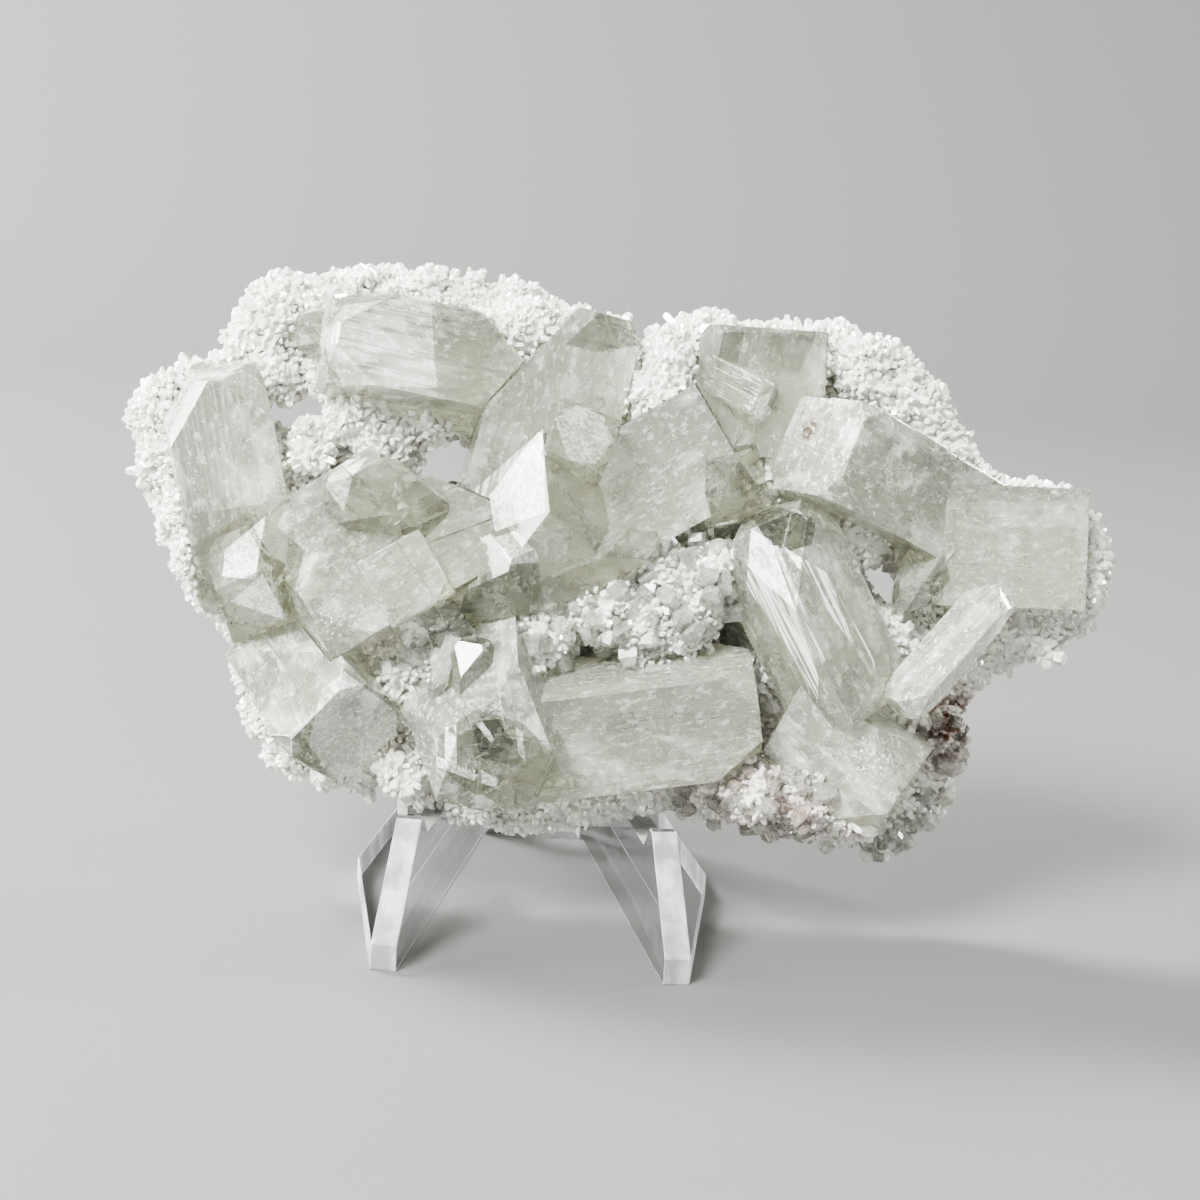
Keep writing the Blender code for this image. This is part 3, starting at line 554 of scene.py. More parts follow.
class Nodes:
    """A short way to lay out a material's nodes."""

    def __init__(self, name):
        self.material = bpy.data.materials.new(name)
        self.material.use_nodes = True
        self.tree = self.material.node_tree
        self.shader = self.tree.nodes["Principled BSDF"]
        self.output = self.tree.nodes["Material Output"]

    def add(self, kind, inputs=None, **settings):
        """A node with its settings and inputs; an input is a value or another socket."""
        node = self.tree.nodes.new(kind)
        for key, value in settings.items():
            setattr(node, key, value)
        for key, value in (inputs or {}).items():
            self.put(node.inputs[key], value)
        return node

    def put(self, socket, value):
        """Set an input's value, or link it."""
        if isinstance(value, bpy.types.NodeSocket):
            self.tree.links.new(value, socket)
        else:
            socket.default_value = value

    def shade(self, **values):
        """Inputs of the Principled shader, with underscores for spaces."""
        for key, value in values.items():
            self.put(self.shader.inputs[key.replace("_", " ")], value)

    def stretched(self, vector, scale):
        """The vector with its three directions scaled."""
        return self.add("ShaderNodeMapping", {"Vector": vector, "Scale": scale}).outputs[0]

    def noise(self, vector, scale, detail, rough=0.55):
        """Noise from 0 to 1."""
        node = self.add("ShaderNodeTexNoise", {
            "Vector": vector, "Scale": scale, "Detail": detail, "Roughness": rough,
        })
        return node.outputs["Fac"]

    def range(self, value, low, high, start=0.0, end=1.0):
        """The part of a value between low and high, drawn out from start to end."""
        node = self.add("ShaderNodeMapRange", {
            "Value": value, "From Min": low, "From Max": high, "To Min": start, "To Max": end,
        })
        return node.outputs["Result"]

    def attribute(self, name, output="Fac"):
        """A value kept on the piece's faces or corners."""
        return self.add("ShaderNodeAttribute", attribute_name=name).outputs[output]

    def fade(self, amount, one, other):
        """A mix of two values."""
        return self.add("ShaderNodeMix", {0: amount, 2: one, 3: other}).outputs[0]

    def math(self, operation, one, other, clamp=False):
        """One calculation."""
        node = self.add("ShaderNodeMath", {0: one, 1: other}, operation=operation)
        node.use_clamp = clamp
        return node.outputs[0]

    def mix(self, amount, one, other):
        """A mix of two colours."""
        node = self.add("ShaderNodeMix", data_type="RGBA")
        self.put(node.inputs[0], amount)
        self.put(node.inputs[6], one)
        self.put(node.inputs[7], other)
        return node.outputs[2]

    def bump(self, height, distance, strength):
        """A surface's small relief."""
        inputs = {"Height": height, "Distance": distance, "Strength": strength}
        return self.add("ShaderNodeBump", inputs).outputs["Normal"]

    def object_place(self):
        """Where a point is, in metres."""
        return self.add("ShaderNodeTexCoord").outputs["Object"]

    def distance(self, place, centre):
        """How far a place is from a point, in metres."""
        inputs = {0: place, 1: centre}
        return self.add("ShaderNodeVectorMath", inputs, operation="DISTANCE").outputs[1]

    def absorb(self, colour, density):
        """Let the inside take up a little light."""
        absorption = self.tree.nodes.new("ShaderNodeVolumeAbsorption")
        absorption.inputs["Color"].default_value = colour
        absorption.inputs["Density"].default_value = density
        self.tree.links.new(absorption.outputs[0], self.output.inputs["Volume"])


def seen_point(tree, across, up):
    """The place on the pieces of a search tree that is seen at this point of the plate."""
    way = (on_plate(across, up, 0) - EYE).normalized()
    return tree.ray_cast(EYE, way)[0]


def crystal_material():
    """Pale green-grey crystal: clear windows, white veils, striated sides, frosted patches, painted
    sheen and painted dark windows.
    """
    m = Nodes("apophyllite")
    place = m.attribute("crystal_place", "Vector")
    frost = m.attribute("frost")
    side = m.attribute("side_face")
    painted_sheen = m.attribute("painted_sheen")
    painted_dark = m.attribute("painted_dark")

    veils = m.noise(m.stretched(place, (1, 1, 0.6)), 0.22, 2.0, 0.6)
    veils = m.range(veils, 0.50, 0.66)
    wisps = m.noise(m.stretched(place, (1.4, 1.4, 0.8)), 0.9, 3.0, 0.72)
    wisps = m.range(wisps, 0.52, 0.66)
    foil = m.noise(place, 2.0, 2.0, 0.7)
    glints = m.range(foil, 0.66, 0.685)
    streaks = m.noise(m.stretched(place, (2.4, 2.4, 0.09)), 1.0, 1.0, 0.7)
    cloud = m.math("MULTIPLY", veils, 0.30)
    cloud = m.math("ADD", cloud, m.math("MULTIPLY", wisps, 0.36))
    lines = m.math("MULTIPLY", m.range(streaks, 0.50, 0.62), side)
    cloud = m.math("ADD", cloud, m.math("MULTIPLY", lines, 0.06))
    cloud = m.math("ADD", cloud, m.math("MULTIPLY", glints, 0.60))
    cloud = m.math("MULTIPLY", cloud, m.math("ADD", frost, 0.28))
    cloud = m.math("ADD", cloud, m.math("MULTIPLY", frost, 0.26))

    # Painted sheen: marked faces get whiter and less clear, for light flashing off facets and off
    # fractures inside
    least = m.range(side, 0.6, 1.0, 0.45, 0.04)
    pattern = m.range(m.fade(side, foil, streaks), 0.44, 0.56, least, 1.0)
    pattern = m.math("MULTIPLY", pattern, m.range(veils, 0.0, 1.0, 0.75, 1.0))
    cloud = m.math("ADD", cloud, m.math("MULTIPLY", painted_sheen, pattern))
    cloud = m.math("ADD", cloud, 0.06, clamp=True)
    etched = m.math("MULTIPLY", wisps, m.range(frost, 0.30, 0.80))
    etched = m.math("ADD", etched, m.math("MULTIPLY", painted_sheen, 0.6), clamp=True)

    height = m.math("MULTIPLY", m.math("MULTIPLY", streaks, side), 0.45)

    # Painted darkness: marked faces take a dark colour, for the dark surroundings seen through
    # clear windows
    colour = m.mix(painted_dark, m.mix(cloud, CLEAR_CRYSTAL, WHITE_CRYSTAL), PAINTED_DARK_CRYSTAL)
    clear = m.range(cloud, 0.0, 1.0, 1.0, 0.08)
    solids = tree_of([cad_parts[node] for node in CRYSTAL_GROUPS])
    for centre, reach, tint, threshold in SPECKS:
        away = m.distance(m.object_place(), seen_point(solids, *centre))
        spot = m.range(away, reach * MM, reach * MM * 0.4)
        spot = m.math("MULTIPLY", spot, m.range(foil, threshold, threshold + 0.06))
        colour = m.mix(spot, colour, tint)
        clear = m.math("MULTIPLY", clear, m.range(spot, 0.0, 1.0, 1.0, 0.1))

    m.shade(
        Base_Color=colour,
        Transmission_Weight=clear,
        Roughness=m.range(etched, 0.0, 1.0, 0.012, 0.34),
        Normal=m.bump(height, 0.00022, 0.42),
        IOR=CRYSTAL_IOR,
        Coat_Weight=0.35,
        Coat_Roughness=0.03,
    )
    m.absorb(INSIDE_CRYSTAL, 26.0)
    return m.material


def druse_material(name, clear, shade):
    """White sugary druse, a little see-through, with brown stains at the lower right."""
    m = Nodes(name)
    place = m.object_place()
    mottle = m.noise(place, 300.0, 2.0, 0.65)
    colour = m.mix(m.range(mottle, 0.35, 0.65), shade, WHITE_DRUSE)
    druse = tree_of([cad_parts["druse"]])
    for centre, reach, stain, patchy in STAINS:
        away = m.distance(place, druse.find_nearest(on_plate(*centre))[0])
        amount = m.math("MULTIPLY", m.range(away, *reach), m.range(mottle, *patchy))
        colour = m.mix(amount, colour, stain)

    m.shade(
        Base_Color=colour,
        Transmission_Weight=clear,
        Roughness=0.12,
        IOR=CRYSTAL_IOR,
    )
    return m.material


def clear_sheet_material():
    """Clear polished sheet, with a few fine scratches."""
    m = Nodes("acrylic_sheet")
    place = m.object_place()
    scratches = m.noise(m.stretched(place, (1.0, 0.08, 1.0)), 2600.0, 2.0, 0.5)
    scratches = m.range(scratches, 0.66, 0.74)
    m.shade(
        Base_Color=CLEAR_SHEET,
        Transmission_Weight=1.0,
        Alpha=0.2,
        Roughness=m.range(scratches, 0.0, 1.0, 0.02, 0.10),
        Normal=m.bump(m.noise(place, 90.0, 2.0), 0.0002, 0.05),
        IOR=ACRYLIC_IOR,
    )
    return m.material


def sawn_edge_material():
    """Frosted sawn edge of the sheet, with fine saw marks."""
    m = Nodes("sawn_acrylic")
    place = m.object_place()
    marks = m.noise(m.stretched(place, (1.0, 0.25, 0.25)), 2400.0, 3.0, 0.6)
    cloud = m.noise(m.stretched(place, (1.0, 1.0, 0.4)), 300.0, 4.0, 0.65)
    cloud = m.range(cloud, 0.42, 0.60)
    m.shade(
        Base_Color=m.mix(cloud, SAWN_GREY, SAWN_WHITE),
        Transmission_Weight=m.range(cloud, 0.0, 1.0, 0.35, 0.15),
        Roughness=m.range(marks, 0.3, 0.7, 0.4, 0.65),
        Normal=m.bump(marks, 0.00008, 0.6),
        IOR=ACRYLIC_IOR,
    )
    return m.material


def fracture_material():
    """Silvery white inner fracture, broken into wisps."""
    m = Nodes("silvery_fracture")
    wisps = m.noise(m.object_place(), 420.0, 3.0, 0.7)
    m.shade(
        Base_Color=FRACTURE_SILVER,
        Roughness=0.2,
        Alpha=m.range(wisps, 0.50, 0.60, 0.0, 0.9),
        IOR=CRYSTAL_IOR,
    )
    return m.material


def floor_material():
    """Plain pale floor."""
    m = Nodes("pale_floor")
    m.shade(Base_Color=FLOOR_GREY, Roughness=0.8)
    return m.material


def owner_of(point, frames, planes):
    """Which crystal of a group a point of its surface belongs to."""
    best = 0
    nearest = math.inf
    for index, (inverse, faces) in enumerate(zip(frames, planes)):
        local = (inverse @ point) / MM
        depth = max(normal.dot(local) - distance for normal, distance in faces)
        if abs(depth) < nearest:
            nearest = abs(depth)
            best = index
    return best


def add_terraces(shape, dice):
    """Raise flat growth steps on the larger faces."""
    for face in list(shape.faces):
        if not face.is_valid or len(face.verts) > MOST_TERRACED_CORNERS:
            continue
        area = face.calc_area() / MM / MM
        if area < SMALLEST_TERRACED_FACE or dice.random() < FACES_LEFT_PLAIN:
            continue
        edge = max(face.edges, key=lambda item: item.calc_length())
        run = (edge.verts[1].co - edge.verts[0].co).normalized()
        inward = face.normal.cross(run)
        centre = face.calc_center_median()
        if (centre - edge.verts[0].co).dot(inward) < 0:
            inward = -inward
        skew = dice.uniform(-TERRACE_SKEW, TERRACE_SKEW)
        cut_normal = (inward + run * skew).normalized()
        reach = max((vertex.co - centre).dot(cut_normal) for vertex in face.verts)
        point = centre + cut_normal * (reach * dice.uniform(*TERRACE_PLACE))
        geometry = [face] + list(face.edges) + list(face.verts)
        cut = bmesh.ops.bisect_plane(
            shape, geom=geometry, plane_co=point, plane_no=cut_normal, dist=MERGE,
        )
        parts = [item for item in cut["geom"] if isinstance(item, bmesh.types.BMFace)]
        parts = [part for part in parts if part.is_valid]
        if len(parts) != 2:
            continue
        raised = cut_normal * dice.choice((-1, 1))
        chosen = max(parts, key=lambda part: (part.calc_center_median() - point).dot(raised))
        if chosen.calc_area() / MM / MM < SMALLEST_TERRACED_FACE / 2:
            continue
        bmesh.ops.inset_individual(
            shape, faces=[chosen], thickness=TERRACE_SLOPE * MM,
            depth=dice.uniform(*TERRACE_HEIGHT) * MM, use_even_offset=True,
        )


def sight_plane(one, other, within):
    """Normal of the plane through the eye and two points of the plate, away from a third."""
    normal = (on_plate(*one, 0) - EYE).cross(on_plate(*other, 0) - EYE).normalized()
    return -normal if (on_plate(*within, 0) - EYE).dot(normal) > 0 else normal


def cut_patches(shape, patches, layers):
    """Cut the outlines of the patches into the faces that are seen, and note their looks."""
    def reached(face, sides):
        return all(
            min((vertex.co - EYE).dot(normal) for vertex in face.verts) < -MERGE
            for normal in sides
        )

    for mark in patches:
        corners = mark["corners"]
        within = [sum(corner[axis] for corner in corners) / len(corners) for axis in (0, 1)]
        sides = [
            sight_plane(corners[index - 1], corner, within)
            for index, corner in enumerate(corners)
        ]
        faces = [
            face for face in shape.faces
            if (EYE - face.calc_center_median()).dot(face.normal) > 0 and reached(face, sides)
        ]
        for normal in sides:
            faces = [face for face in faces if face.is_valid and reached(face, sides)]
            around = {edge for face in faces for edge in face.edges}
            around |= {vertex for face in faces for vertex in face.verts}
            cut = bmesh.ops.bisect_plane(
                shape, geom=faces + list(around), plane_co=EYE, plane_no=normal, dist=MERGE,
            )
            faces = [item for item in cut["geom"] if isinstance(item, bmesh.types.BMFace)]
        for face in faces:
            middle = face.calc_center_median() - EYE
            if all(middle.dot(normal) < 0 for normal in sides):
                # The patch's painted sheen and painted darkness, and its frost
                face[layers["painted_sheen"]] = mark["painted_sheen"]
                face[layers["painted_dark"]] = mark["painted_dark"]
                if mark["frost"] is not None:
                    face[layers["frost"]] = mark["frost"]


def dress_crystals(node, group, seed, material):
    """The crystals of one group with growth steps, soft edges and their own frames."""
    dice = random.Random(seed)
    frames = [crystal_frame(measures).inverted() for measures in group]
    planes = [crystal_planes(measures, seed + 1 + index) for index, measures in enumerate(group)]
    shape = flat_copy(node)
    layers = {
        name: shape.faces.layers.float.new(name)
        for name in ("frost", "side_face", "painted_sheen", "painted_dark")
    }
    owner_layer = shape.faces.layers.int.new("owner")
    rounded_layer = shape.faces.layers.int.new("rounded_edge")
    place_layer = shape.loops.layers.float_vector.new("crystal_place")
    for face in shape.faces:
        owner = owner_of(face.calc_center_median(), frames, planes)
        face[owner_layer] = owner
        facing = frames[owner].to_3x3() @ face.normal
        toss = random.Random(f"{owner} {[round(part * 4) for part in facing]}")
        tone = toss.uniform(-FROST_TONES, FROST_TONES)
        face[layers["frost"]] = max(group[owner]["frost"] + tone, 0.02)
    add_terraces(shape, dice)
    cut_patches(shape, PATCHES.get(node, ()), layers)
    for face in round_edges(shape, sharp_edges(shape, SHARP_CRYSTAL_ANGLE), EDGE_ROUNDING):
        face[rounded_layer] = 1
    bmesh.ops.triangulate(shape, faces=shape.faces)
    for face in shape.faces:
        owner = face[owner_layer]
        face[layers["side_face"]] = 1 - abs((frames[owner].to_3x3() @ face.normal).z)
        # Rounded edges: more frost, partly wear and partly a painted highlight, no painted
        # darkness, some painted sheen
        if face[rounded_layer]:
            face[layers["frost"]] = min(face[layers["frost"]] + EDGE_WEAR_AND_SHEEN_FROST, 1)
            face[layers["painted_dark"]] = 0
            face[layers["painted_sheen"]] = max(face[layers["painted_sheen"]], EDGE_PAINTED_SHEEN)
        for loop in face.loops:
            local = (frames[owner] @ loop.vert.co) / MM
            shift = (owner * CRYSTAL_PATTERN_STEP, 0, seed * GROUP_PATTERN_STEP)
            loop[place_layer] = local + Vector(shift)
    piece = new_object(node + "_faces", finish_mesh(shape, node + "_faces"))
    piece.data.materials.append(material)
    hand_in(piece, "clear_apophyllite", node)
    return piece


def sheet_inside(centre, normal, radius, seed):
    """A thin wavy sheet with an uneven edge, as a closed bmesh, in metres."""
    dice = random.Random(seed)
    turn = Vector(normal).normalized().to_track_quat("Z", "Y").to_matrix().to_4x4()
    place = Matrix.Translation(centre) @ turn
    sides = 18
    rings = 4
    stretch = dice.uniform(0.5, 1.0)
    edge_sizes = [dice.uniform(0.62, 1.0) for _ in range(sides)]
    shape = bmesh.new()

    def corner(size, around, height):
        x = size * math.cos(around)
        y = size * math.sin(around) * stretch
        wave = noise.noise(Vector((x, y, seed)) * 0.35) * radius * FRACTURE_WAVE
        share = min(math.hypot(x, y) / radius, 1)
        z = wave + height * FRACTURE_THICKNESS * (1 - share * share * 0.9)
        return shape.verts.new(place @ (Vector((x, y, z)) * MM))

    outlines = []
    for height in (0.5, -0.5):
        order = 1 if height > 0 else -1
        middle = corner(0, 0, height)
        rows = [
            [
                corner(radius * ring / rings * edge_sizes[side], 2 * math.pi * side / sides, height)
                for side in range(sides)
            ]
            for ring in range(1, rings + 1)
        ]
        for side in range(sides):
            after = (side + 1) % sides
            shape.faces.new((middle, rows[0][side], rows[0][after])[::order])
            for inner, outer in zip(rows, rows[1:]):
                corners = (inner[side], outer[side], outer[after], inner[after])
                shape.faces.new(corners[::order])
        outlines.append(rows[-1])
    upper, lower = outlines
    for side in range(sides):
        after = (side + 1) % sides
        shape.faces.new((upper[side], lower[side], lower[after], upper[after]))
    return shape


def inner_fractures(material):
    """Silvery fractures inside the larger crystals, most of them square to the length."""
    dice = random.Random(31)
    whole = bmesh.new()
    for group in CRYSTAL_GROUPS.values():
        for measures in group:
            width, depth, length = measures["size"]
            if width < FRACTURED_WIDTH:
                continue
            place = crystal_frame(measures)
            for _ in range(FRACTURES if width > MUCH_FRACTURED_WIDTH else 1):
                radius = min(width, depth) * dice.uniform(0.22, 0.42)
                room = min(width, depth) / 2 - radius
                local = Vector((
                    dice.uniform(-room, room), dice.uniform(-room, room),
                    -dice.uniform(0.35, 0.7) * min(length, 20),
                ))
                normal = Vector((
                    dice.uniform(-0.6, 0.6), dice.uniform(-0.6, 0.6), 1
                ))
                if dice.random() < LENGTHWISE_FRACTURES:
                    normal = Vector((dice.uniform(-1, 1), dice.uniform(-1, 1), 0.4))
                centre = place @ (local * MM)
                facing = place.to_3x3() @ normal
                sheet = sheet_inside(centre, facing, radius, dice.randrange(1000))
                mesh = finish_mesh(sheet, "fracture")
                whole.from_mesh(mesh)
                bpy.data.meshes.remove(mesh)
    piece = new_object("inner_fractures", finish_mesh(whole, "inner_fractures"))
    piece.data.materials.append(material)
    hand_in(piece, "clear_apophyllite")


def sugar_tree():
    """Geometry Nodes tree that grows small square crystals on a surface."""
    tree = bpy.data.node_groups.new("sugar_crystals", "GeometryNodeTree")
    face = tree.interface
    face.new_socket("Geometry", in_out="OUTPUT", socket_type="NodeSocketGeometry")
    face.new_socket("Surface", in_out="INPUT", socket_type="NodeSocketGeometry")
    for label, kind in (
        ("Spacing", "Float"), ("Density", "Float"), ("Width least", "Float"),
        ("Width most", "Float"), ("Length least", "Float"), ("Length most", "Float"),
        ("Lean", "Float"), ("Seed", "Int"), ("Material", "Material"),
    ):
        face.new_socket(label, in_out="INPUT", socket_type="NodeSocket" + kind)
    nodes = tree.nodes
    link = tree.links.new
    given = nodes.new("NodeGroupInput").outputs

    def node(kind, inputs=None, **settings):
        made = nodes.new(kind)
        for key, value in settings.items():
            setattr(made, key, value)
        for key, value in (inputs or {}).items():
            if isinstance(value, bpy.types.NodeSocket):
                link(value, made.inputs[key])
            else:
                made.inputs[key].default_value = value
        return made

    def calculate(operation, *values):
        return node("ShaderNodeMath", dict(enumerate(values)), operation=operation).outputs[0]

    scatter = node("GeometryNodeDistributePointsOnFaces", {
        "Mesh": given["Surface"], "Distance Min": given["Spacing"],
        "Density Max": given["Density"], "Density Factor": 1.0, "Seed": given["Seed"],
    }, distribute_method="POISSON")

    kinds = node("GeometryNodeJoinGeometry")
    for tip, shoulder in GRAIN_SHAPES:
        block = node("GeometryNodeMeshCube", {
            "Size": (1, 1, 1), "Vertices X": 2, "Vertices Y": 2, "Vertices Z": 3,
        })
        parts = node("ShaderNodeSeparateXYZ", {0: node("GeometryNodeInputPosition").outputs[0]})
        x, y, height = parts.outputs
        at_top = calculate("GREATER_THAN", height, 0.4)
        narrow = calculate("MULTIPLY_ADD", at_top, tip - 1.0, 1.0)
        in_middle = calculate("LESS_THAN", calculate("ABSOLUTE", height), 0.1)
        lifted = calculate("MULTIPLY_ADD", in_middle, shoulder, height)
        moved = node("ShaderNodeCombineXYZ", {
            0: calculate("MULTIPLY", x, narrow), 1: calculate("MULTIPLY", y, narrow),
            2: calculate("ADD", lifted, 0.3),
        })
        shaped = node("GeometryNodeSetPosition", {
            "Geometry": block.outputs["Mesh"], "Position": moved.outputs[0],
        })
        one = node("GeometryNodeGeometryToInstance")
        link(shaped.outputs[0], one.inputs[0])
        link(one.outputs[0], kinds.inputs[0])

    spin = node("FunctionNodeRandomValue", {
        0: (-1, -1, -3.14159), 1: (1, 1, 3.14159), "Seed": 3,
    }, data_type="FLOAT_VECTOR")
    lean = node("ShaderNodeCombineXYZ", {0: given["Lean"], 1: given["Lean"], 2: 1.0})
    turned = node("ShaderNodeVectorMath", {
        0: spin.outputs[0], 1: lean.outputs[0],
    }, operation="MULTIPLY")
    rotation = node("FunctionNodeRotateRotation", {
        0: scatter.outputs["Rotation"], 1: turned.outputs[0],
    }, rotation_space="LOCAL")

    def between(low, high, seed):
        return node("FunctionNodeRandomValue", {
            2: given[low], 3: given[high], "Seed": seed,
        }, data_type="FLOAT").outputs[1]

    width = between("Width least", "Width most", 11)
    squareness = node("FunctionNodeRandomValue", {2: 0.7, 3: 1.0, "Seed": 12}, data_type="FLOAT")
    size = node("ShaderNodeCombineXYZ", {
        0: width, 1: calculate("MULTIPLY", width, squareness.outputs[1]),
        2: between("Length least", "Length most", 13),
    })
    grown = node("GeometryNodeInstanceOnPoints", {
        "Points": scatter.outputs["Points"], "Instance": kinds.outputs[0],
        "Pick Instance": True, "Rotation": rotation.outputs[0], "Scale": size.outputs[0],
    })
    real = node("GeometryNodeRealizeInstances")
    link(grown.outputs[0], real.inputs[0])
    finish = node("GeometryNodeSetMaterial", {"Material": given["Material"]})
    link(real.outputs[0], finish.inputs["Geometry"])
    out = nodes.new("NodeGroupOutput")
    link(finish.outputs[0], out.inputs[0])
    return tree


def grow_sugar(tree, surface, name, values):
    """Grow small crystals on a surface by the tree, and leave them as a plain mesh."""
    thing = new_object(name + "_surface", surface)
    modifier = thing.modifiers.new("Grow", "NODES")
    modifier.node_group = tree
    for item in tree.interface.items_tree:
        if item.in_out == "INPUT" and item.name in values:
            modifier[item.identifier] = values[item.name]
    mesh = evaluated_mesh(thing, name)
    bpy.data.objects.remove(thing)
    if "UVMap" in mesh.attributes:
        mesh.attributes.remove(mesh.attributes["UVMap"])
    return new_object(name, mesh)


def druse_crust(crystals, material):
    """The druse with a rough skin in the place of its facets."""
    shape = merged_copy("druse")
    cut_down(shape, CRUST_EDGES)
    shape.normal_update()
    moves = {}
    for vertex in shape.verts:
        rough = noise.fractal(vertex.co * CRUST_FINENESS, 1.0, 2.0, 3) * CRUST_ROUGHNESS
        gap = noise.noise(vertex.co * CRUST_GAP_FINENESS + Vector((5, 1, 3)))
        gap = max(gap - CRUST_GAP_THRESHOLD, 0) * CRUST_GAPS
        _, _, _, away = crystals.find_nearest(vertex.co)
        share = min(max((away / MM - CRUST_SMOOTH) / CRUST_ROUGH, 0), 1)
        moves[vertex] = vertex.normal * ((rough - gap) * share * MM)
    for vertex, move in moves.items():
        vertex.co += move
    piece = new_object("druse_crust", finish_mesh(shape, "druse_crust"))
    piece.data.materials.append(material)
    hand_in(piece, "white_druse", "druse")
    return piece


def region_surface(crust, crystals, wanted):
    """The open faces of the crust that lie in one region, without the walls by the crystals."""
    shape = bmesh.new()
    shape.from_mesh(crust.data)
    unwanted = []
    for face in shape.faces:
        centre = face.calc_center_median()
        across, up = plate_coordinates(centre)
        nearest, _, _, away = crystals.find_nearest(centre)
        faces_it = (nearest - centre).dot(face.normal) > 0.5 * away
        wall = away < WALL_DISTANCE * MM and faces_it
        if wall or not wanted(across, up, face.normal.dot(OUT)):
            unwanted.append(face)
    bmesh.ops.delete(shape, geom=unwanted, context="FACES")
    return finish_mesh(shape, "bed")


def crystal_fringe(dressed, crust):
    """The crystals' faces just beside the druse, where small crystals grow on them."""
    ground = tree_of([crust])
    whole = bmesh.new()
    for piece in dressed:
        whole.from_mesh(piece.data)
    cut_down(whole, FRINGE_EDGES)
    unwanted = []
    for face in whole.faces:
        above = face.calc_center_median() + face.normal * (FRINGE_HEIGHT * MM)
        nearest, normal, _, away = ground.find_nearest(above)
        buried = (above - nearest).dot(normal) < 0
        if buried or away > FRINGE * MM:
            unwanted.append(face)
    bmesh.ops.delete(whole, geom=unwanted, context="FACES")
    return finish_mesh(whole, "fringe")


def on_front(left, right):
    """A rule that is met on the front of the druse, between two places across."""
    return lambda across, up, facing: facing > BACK_FACING and left <= across < right


def on_back(left, right):
    """A rule that is met on the back of the druse, between two places across."""
    return lambda across, up, facing: facing <= BACK_FACING and left <= across < right


def among_crystals(across, up, facing):
    """Where larger blocks grow: between the big crystals, and low on the right."""
    middle = -22 < across < 22 and -14 < up < 13
    return facing > 0.3 and (middle or (across > 10 and up < -15))


# Grains of each region of the druse: spacing, widths, lengths, lean and where they grow.
# The front is parted at -18 and 20 across, and the back at 2
SUGAR_REGIONS = [
    ("sugar_front_left", 0.60, (0.46, 0.90), (0.7, 1.6), 0.65, on_front(-math.inf, -18)),
    ("sugar_front_middle", 0.60, (0.46, 0.88), (0.6, 1.5), 0.65, on_front(-18, 20)),
    ("sugar_front_right", 0.60, (0.46, 0.90), (0.7, 1.6), 0.65, on_front(20, math.inf)),
    ("sugar_back_left", 0.95, (0.7, 1.3), (0.9, 2.1), 0.55, on_back(-math.inf, 2)),
    ("sugar_back_right", 0.95, (0.7, 1.3), (0.9, 2.1), 0.55, on_back(2, math.inf)),
    ("sugar_blocks", 1.9, (1.1, 2.6), (1.6, 3.8), 1.1, among_crystals),
]
SUGAR_FRINGE = ("sugar_fringe", 1.0, (0.45, 0.9), (0.45, 1.2), 0.7)


def dress_druse(dressed, crystals, crust_look, sugar_look, block_look):
    """The druse's crust and the thousands of small crystals on it."""
    crust = druse_crust(crystals, crust_look)
    tree = sugar_tree()
    beds = [
        (*grains, region_surface(crust, crystals, wanted)) for *grains, wanted in SUGAR_REGIONS
    ]
    beds.append((*SUGAR_FRINGE, crystal_fringe(dressed, crust)))
    for index, (name, spacing, widths, lengths, lean, bed) in enumerate(beds):
        piece = grow_sugar(tree, bed, name, {
            "Spacing": spacing * MM, "Density": GRAIN_DENSITY / (spacing * MM) ** 2,
            "Width least": widths[0] * MM, "Width most": widths[1] * MM,
            "Length least": lengths[0] * MM, "Length most": lengths[1] * MM,
            "Lean": lean, "Seed": index + FIRST_GRAIN_SEED,
            "Material": block_look if name == "sugar_blocks" else sugar_look,
        })
        hand_in(piece, "white_druse")


def hand_in_sheet(shape, node, looks):
    """Finish a part of the stand from its bmesh."""
    bmesh.ops.triangulate(shape, faces=shape.faces)
    piece = new_object(node + "_sheet", finish_mesh(shape, node + "_sheet"))
    for look in looks:
        piece.data.materials.append(look)
    hand_in(piece, "clear_acrylic", node)


def dress_leg(node, side, looks):
    """A leg with soft edges, its sawn edges frosted and its flats clear."""
    shape = flat_copy(node)
    turn = leg_place(side).to_3x3().inverted()
    place = (Matrix.Translation(SHIFT) @ leg_place(side)).inverted()
    for face in shape.faces:
        facing = turn @ face.normal
        local = place @ face.calc_center_median() / MM
        flat_of_upright = abs(facing.x) > 0.9 and local.x < SHEET + 0.5
        flat_of_foot = abs(facing.z) > 0.9 and local.z < SHEET + 0.5
        at_tip = local.z > TIP_TOP - 0.8 and local.y < TIP_BACK + 0.5
        face.material_index = CLEAR if flat_of_upright or flat_of_foot or at_tip else SAWN
    round_edges(shape, sharp_edges(shape, SHARP_SHEET_ANGLE), SHEET_ROUNDING, SAWN)
    hand_in_sheet(shape, node, looks)


def dress_cross_plate(looks):
    """The cross plate, its narrow sides sawn, but clear where it looks down on the floor."""
    node = "stand_cross_plate"
    shape = flat_copy(node)
    yaw = Matrix.Rotation(-math.radians(STAND_YAW), 3, "Z")
    for face in shape.faces:
        face.material_index = CLEAR if abs((yaw @ face.normal).y) > 0.9 else SAWN
    round_edges(shape, shape.edges[:], SHEET_ROUNDING, SAWN)
    for face in shape.faces:
        if face.normal.z < -0.3:
            face.material_index = CLEAR
    hand_in_sheet(shape, node, looks)


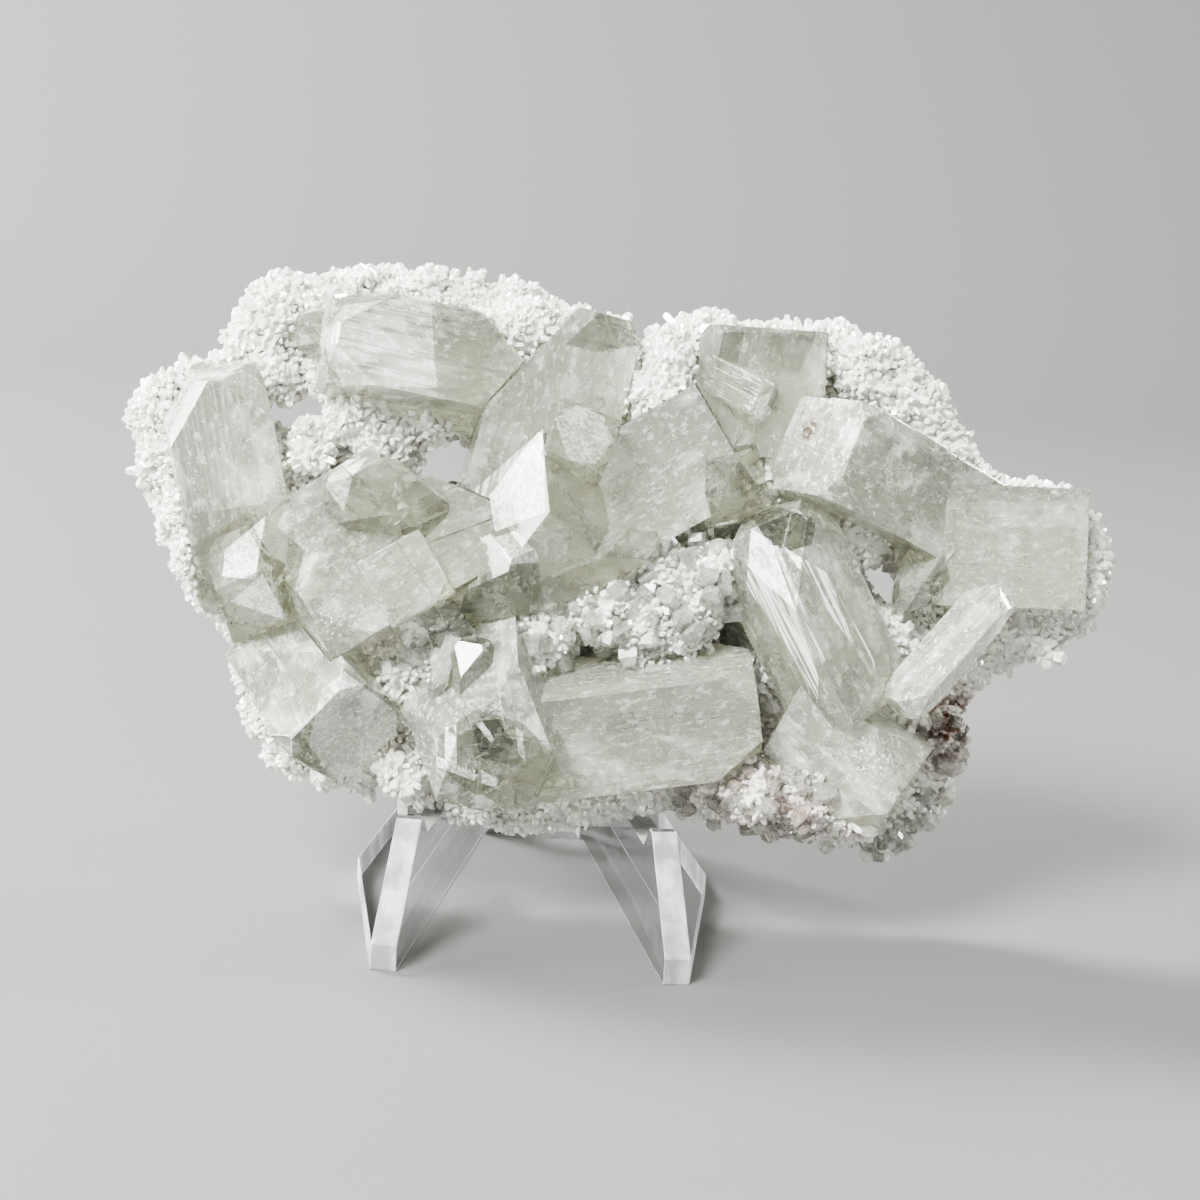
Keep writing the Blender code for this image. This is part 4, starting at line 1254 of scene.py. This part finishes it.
def area_light(name, place, size, power):
    """A soft light that faces the object."""
    lamp = bpy.data.lights.new(name, "AREA")
    lamp.shape = "RECTANGLE"
    lamp.size = size[0]
    lamp.size_y = size[1]
    lamp.energy = power
    thing = bpy.data.objects.new(name, lamp)
    bpy.context.scene.collection.objects.link(thing)
    facing = (Vector(LIT_PLACE) - Vector(place)).to_track_quat("-Z", "Y")
    thing.matrix_world = Matrix.Translation(place) @ facing.to_matrix().to_4x4()


def studio():
    """Pale floor, soft lights, and a camera where the photo was taken from."""
    shape = bmesh.new()
    profile = [(FLOOR_FRONT, 0.0), (SWEEP_START, 0.0)]
    for step in range(1, SWEEP_STEPS + 1):
        turn = math.radians(90 * step / SWEEP_STEPS)
        profile.append((
            SWEEP_START + SWEEP_RADIUS * math.sin(turn), SWEEP_RADIUS * (1 - math.cos(turn))
        ))
    profile.append((SWEEP_START + SWEEP_RADIUS, WALL_TOP))
    rows = [[shape.verts.new((x, y, z)) for y, z in profile] for x in (FLOOR_SIDE, -FLOOR_SIDE)]
    for index in range(len(profile) - 1):
        shape.faces.new((
            rows[0][index], rows[0][index + 1], rows[1][index + 1], rows[1][index]
        ))
    floor = new_object("floor", finish_mesh(shape, "floor"))
    floor.data.shade_smooth()
    floor.data.materials.append(floor_material())

    world = bpy.data.worlds.new("studio")
    bpy.context.scene.world = world
    world.use_nodes = True
    nodes = world.node_tree.nodes
    link = world.node_tree.links.new
    way = nodes.new("ShaderNodeTexCoord").outputs["Generated"]
    parts = nodes.new("ShaderNodeSeparateXYZ")
    link(way, parts.inputs[0])
    behind = nodes.new("ShaderNodeMapRange")
    link(parts.outputs["Y"], behind.inputs["Value"])
    for socket, value in zip(list(behind.inputs)[1:5], ROUND_LIGHT):
        socket.default_value = value
    background = nodes["Background"]
    link(behind.outputs["Result"], background.inputs["Color"])
    background.inputs["Strength"].default_value = 1.0

    for name, (place, size, power) in LIGHTS.items():
        area_light(name, place, size, power)
    bpy.context.scene.view_settings.look = "AgX - High Contrast"

    lens = bpy.data.cameras.new("camera")
    lens.lens = LENS
    lens.sensor_width = SENSOR
    lens.clip_start = NEAREST_SEEN
    camera = bpy.data.objects.new("camera", lens)
    bpy.context.scene.collection.objects.link(camera)
    turned = Matrix((ACROSS, UP, OUT)).transposed().to_4x4()
    camera.matrix_world = Matrix.Translation(EYE) @ turned
    bpy.context.scene.camera = camera


def tree_of(pieces):
    """One search tree over the faces of several pieces."""
    points = []
    faces = []
    for piece in pieces:
        start = len(points)
        points += [vertex.co.copy() for vertex in piece.data.vertices]
        faces += [[start + index for index in face.vertices] for face in piece.data.polygons]
    return BVHTree.FromPolygons(points, faces)


def make():
    """Make every piece of the visual model."""
    crystal_look = crystal_material()
    seed = FIRST_SEED
    dressed = []
    for node, group in CRYSTAL_GROUPS.items():
        dressed.append(dress_crystals(node, group, seed, crystal_look))
        seed += len(group)
    crystals = tree_of(dressed)
    inner_fractures(fracture_material())
    mass_look = druse_material("druse_mass", 0.0, DRUSE_SKIN_SHADE)
    sugar_look = druse_material("druse_sugar", 0.0, GRAIN_SHADE)
    block_look = druse_material("druse_blocks", 0.75, BLOCK_SHADE)
    dress_druse(dressed, crystals, mass_look, sugar_look, block_look)
    looks = (clear_sheet_material(), sawn_edge_material())
    dress_leg("stand_leg_left", -1, looks)
    dress_leg("stand_leg_right", 1, looks)
    dress_cross_plate(looks)
    studio()


make()
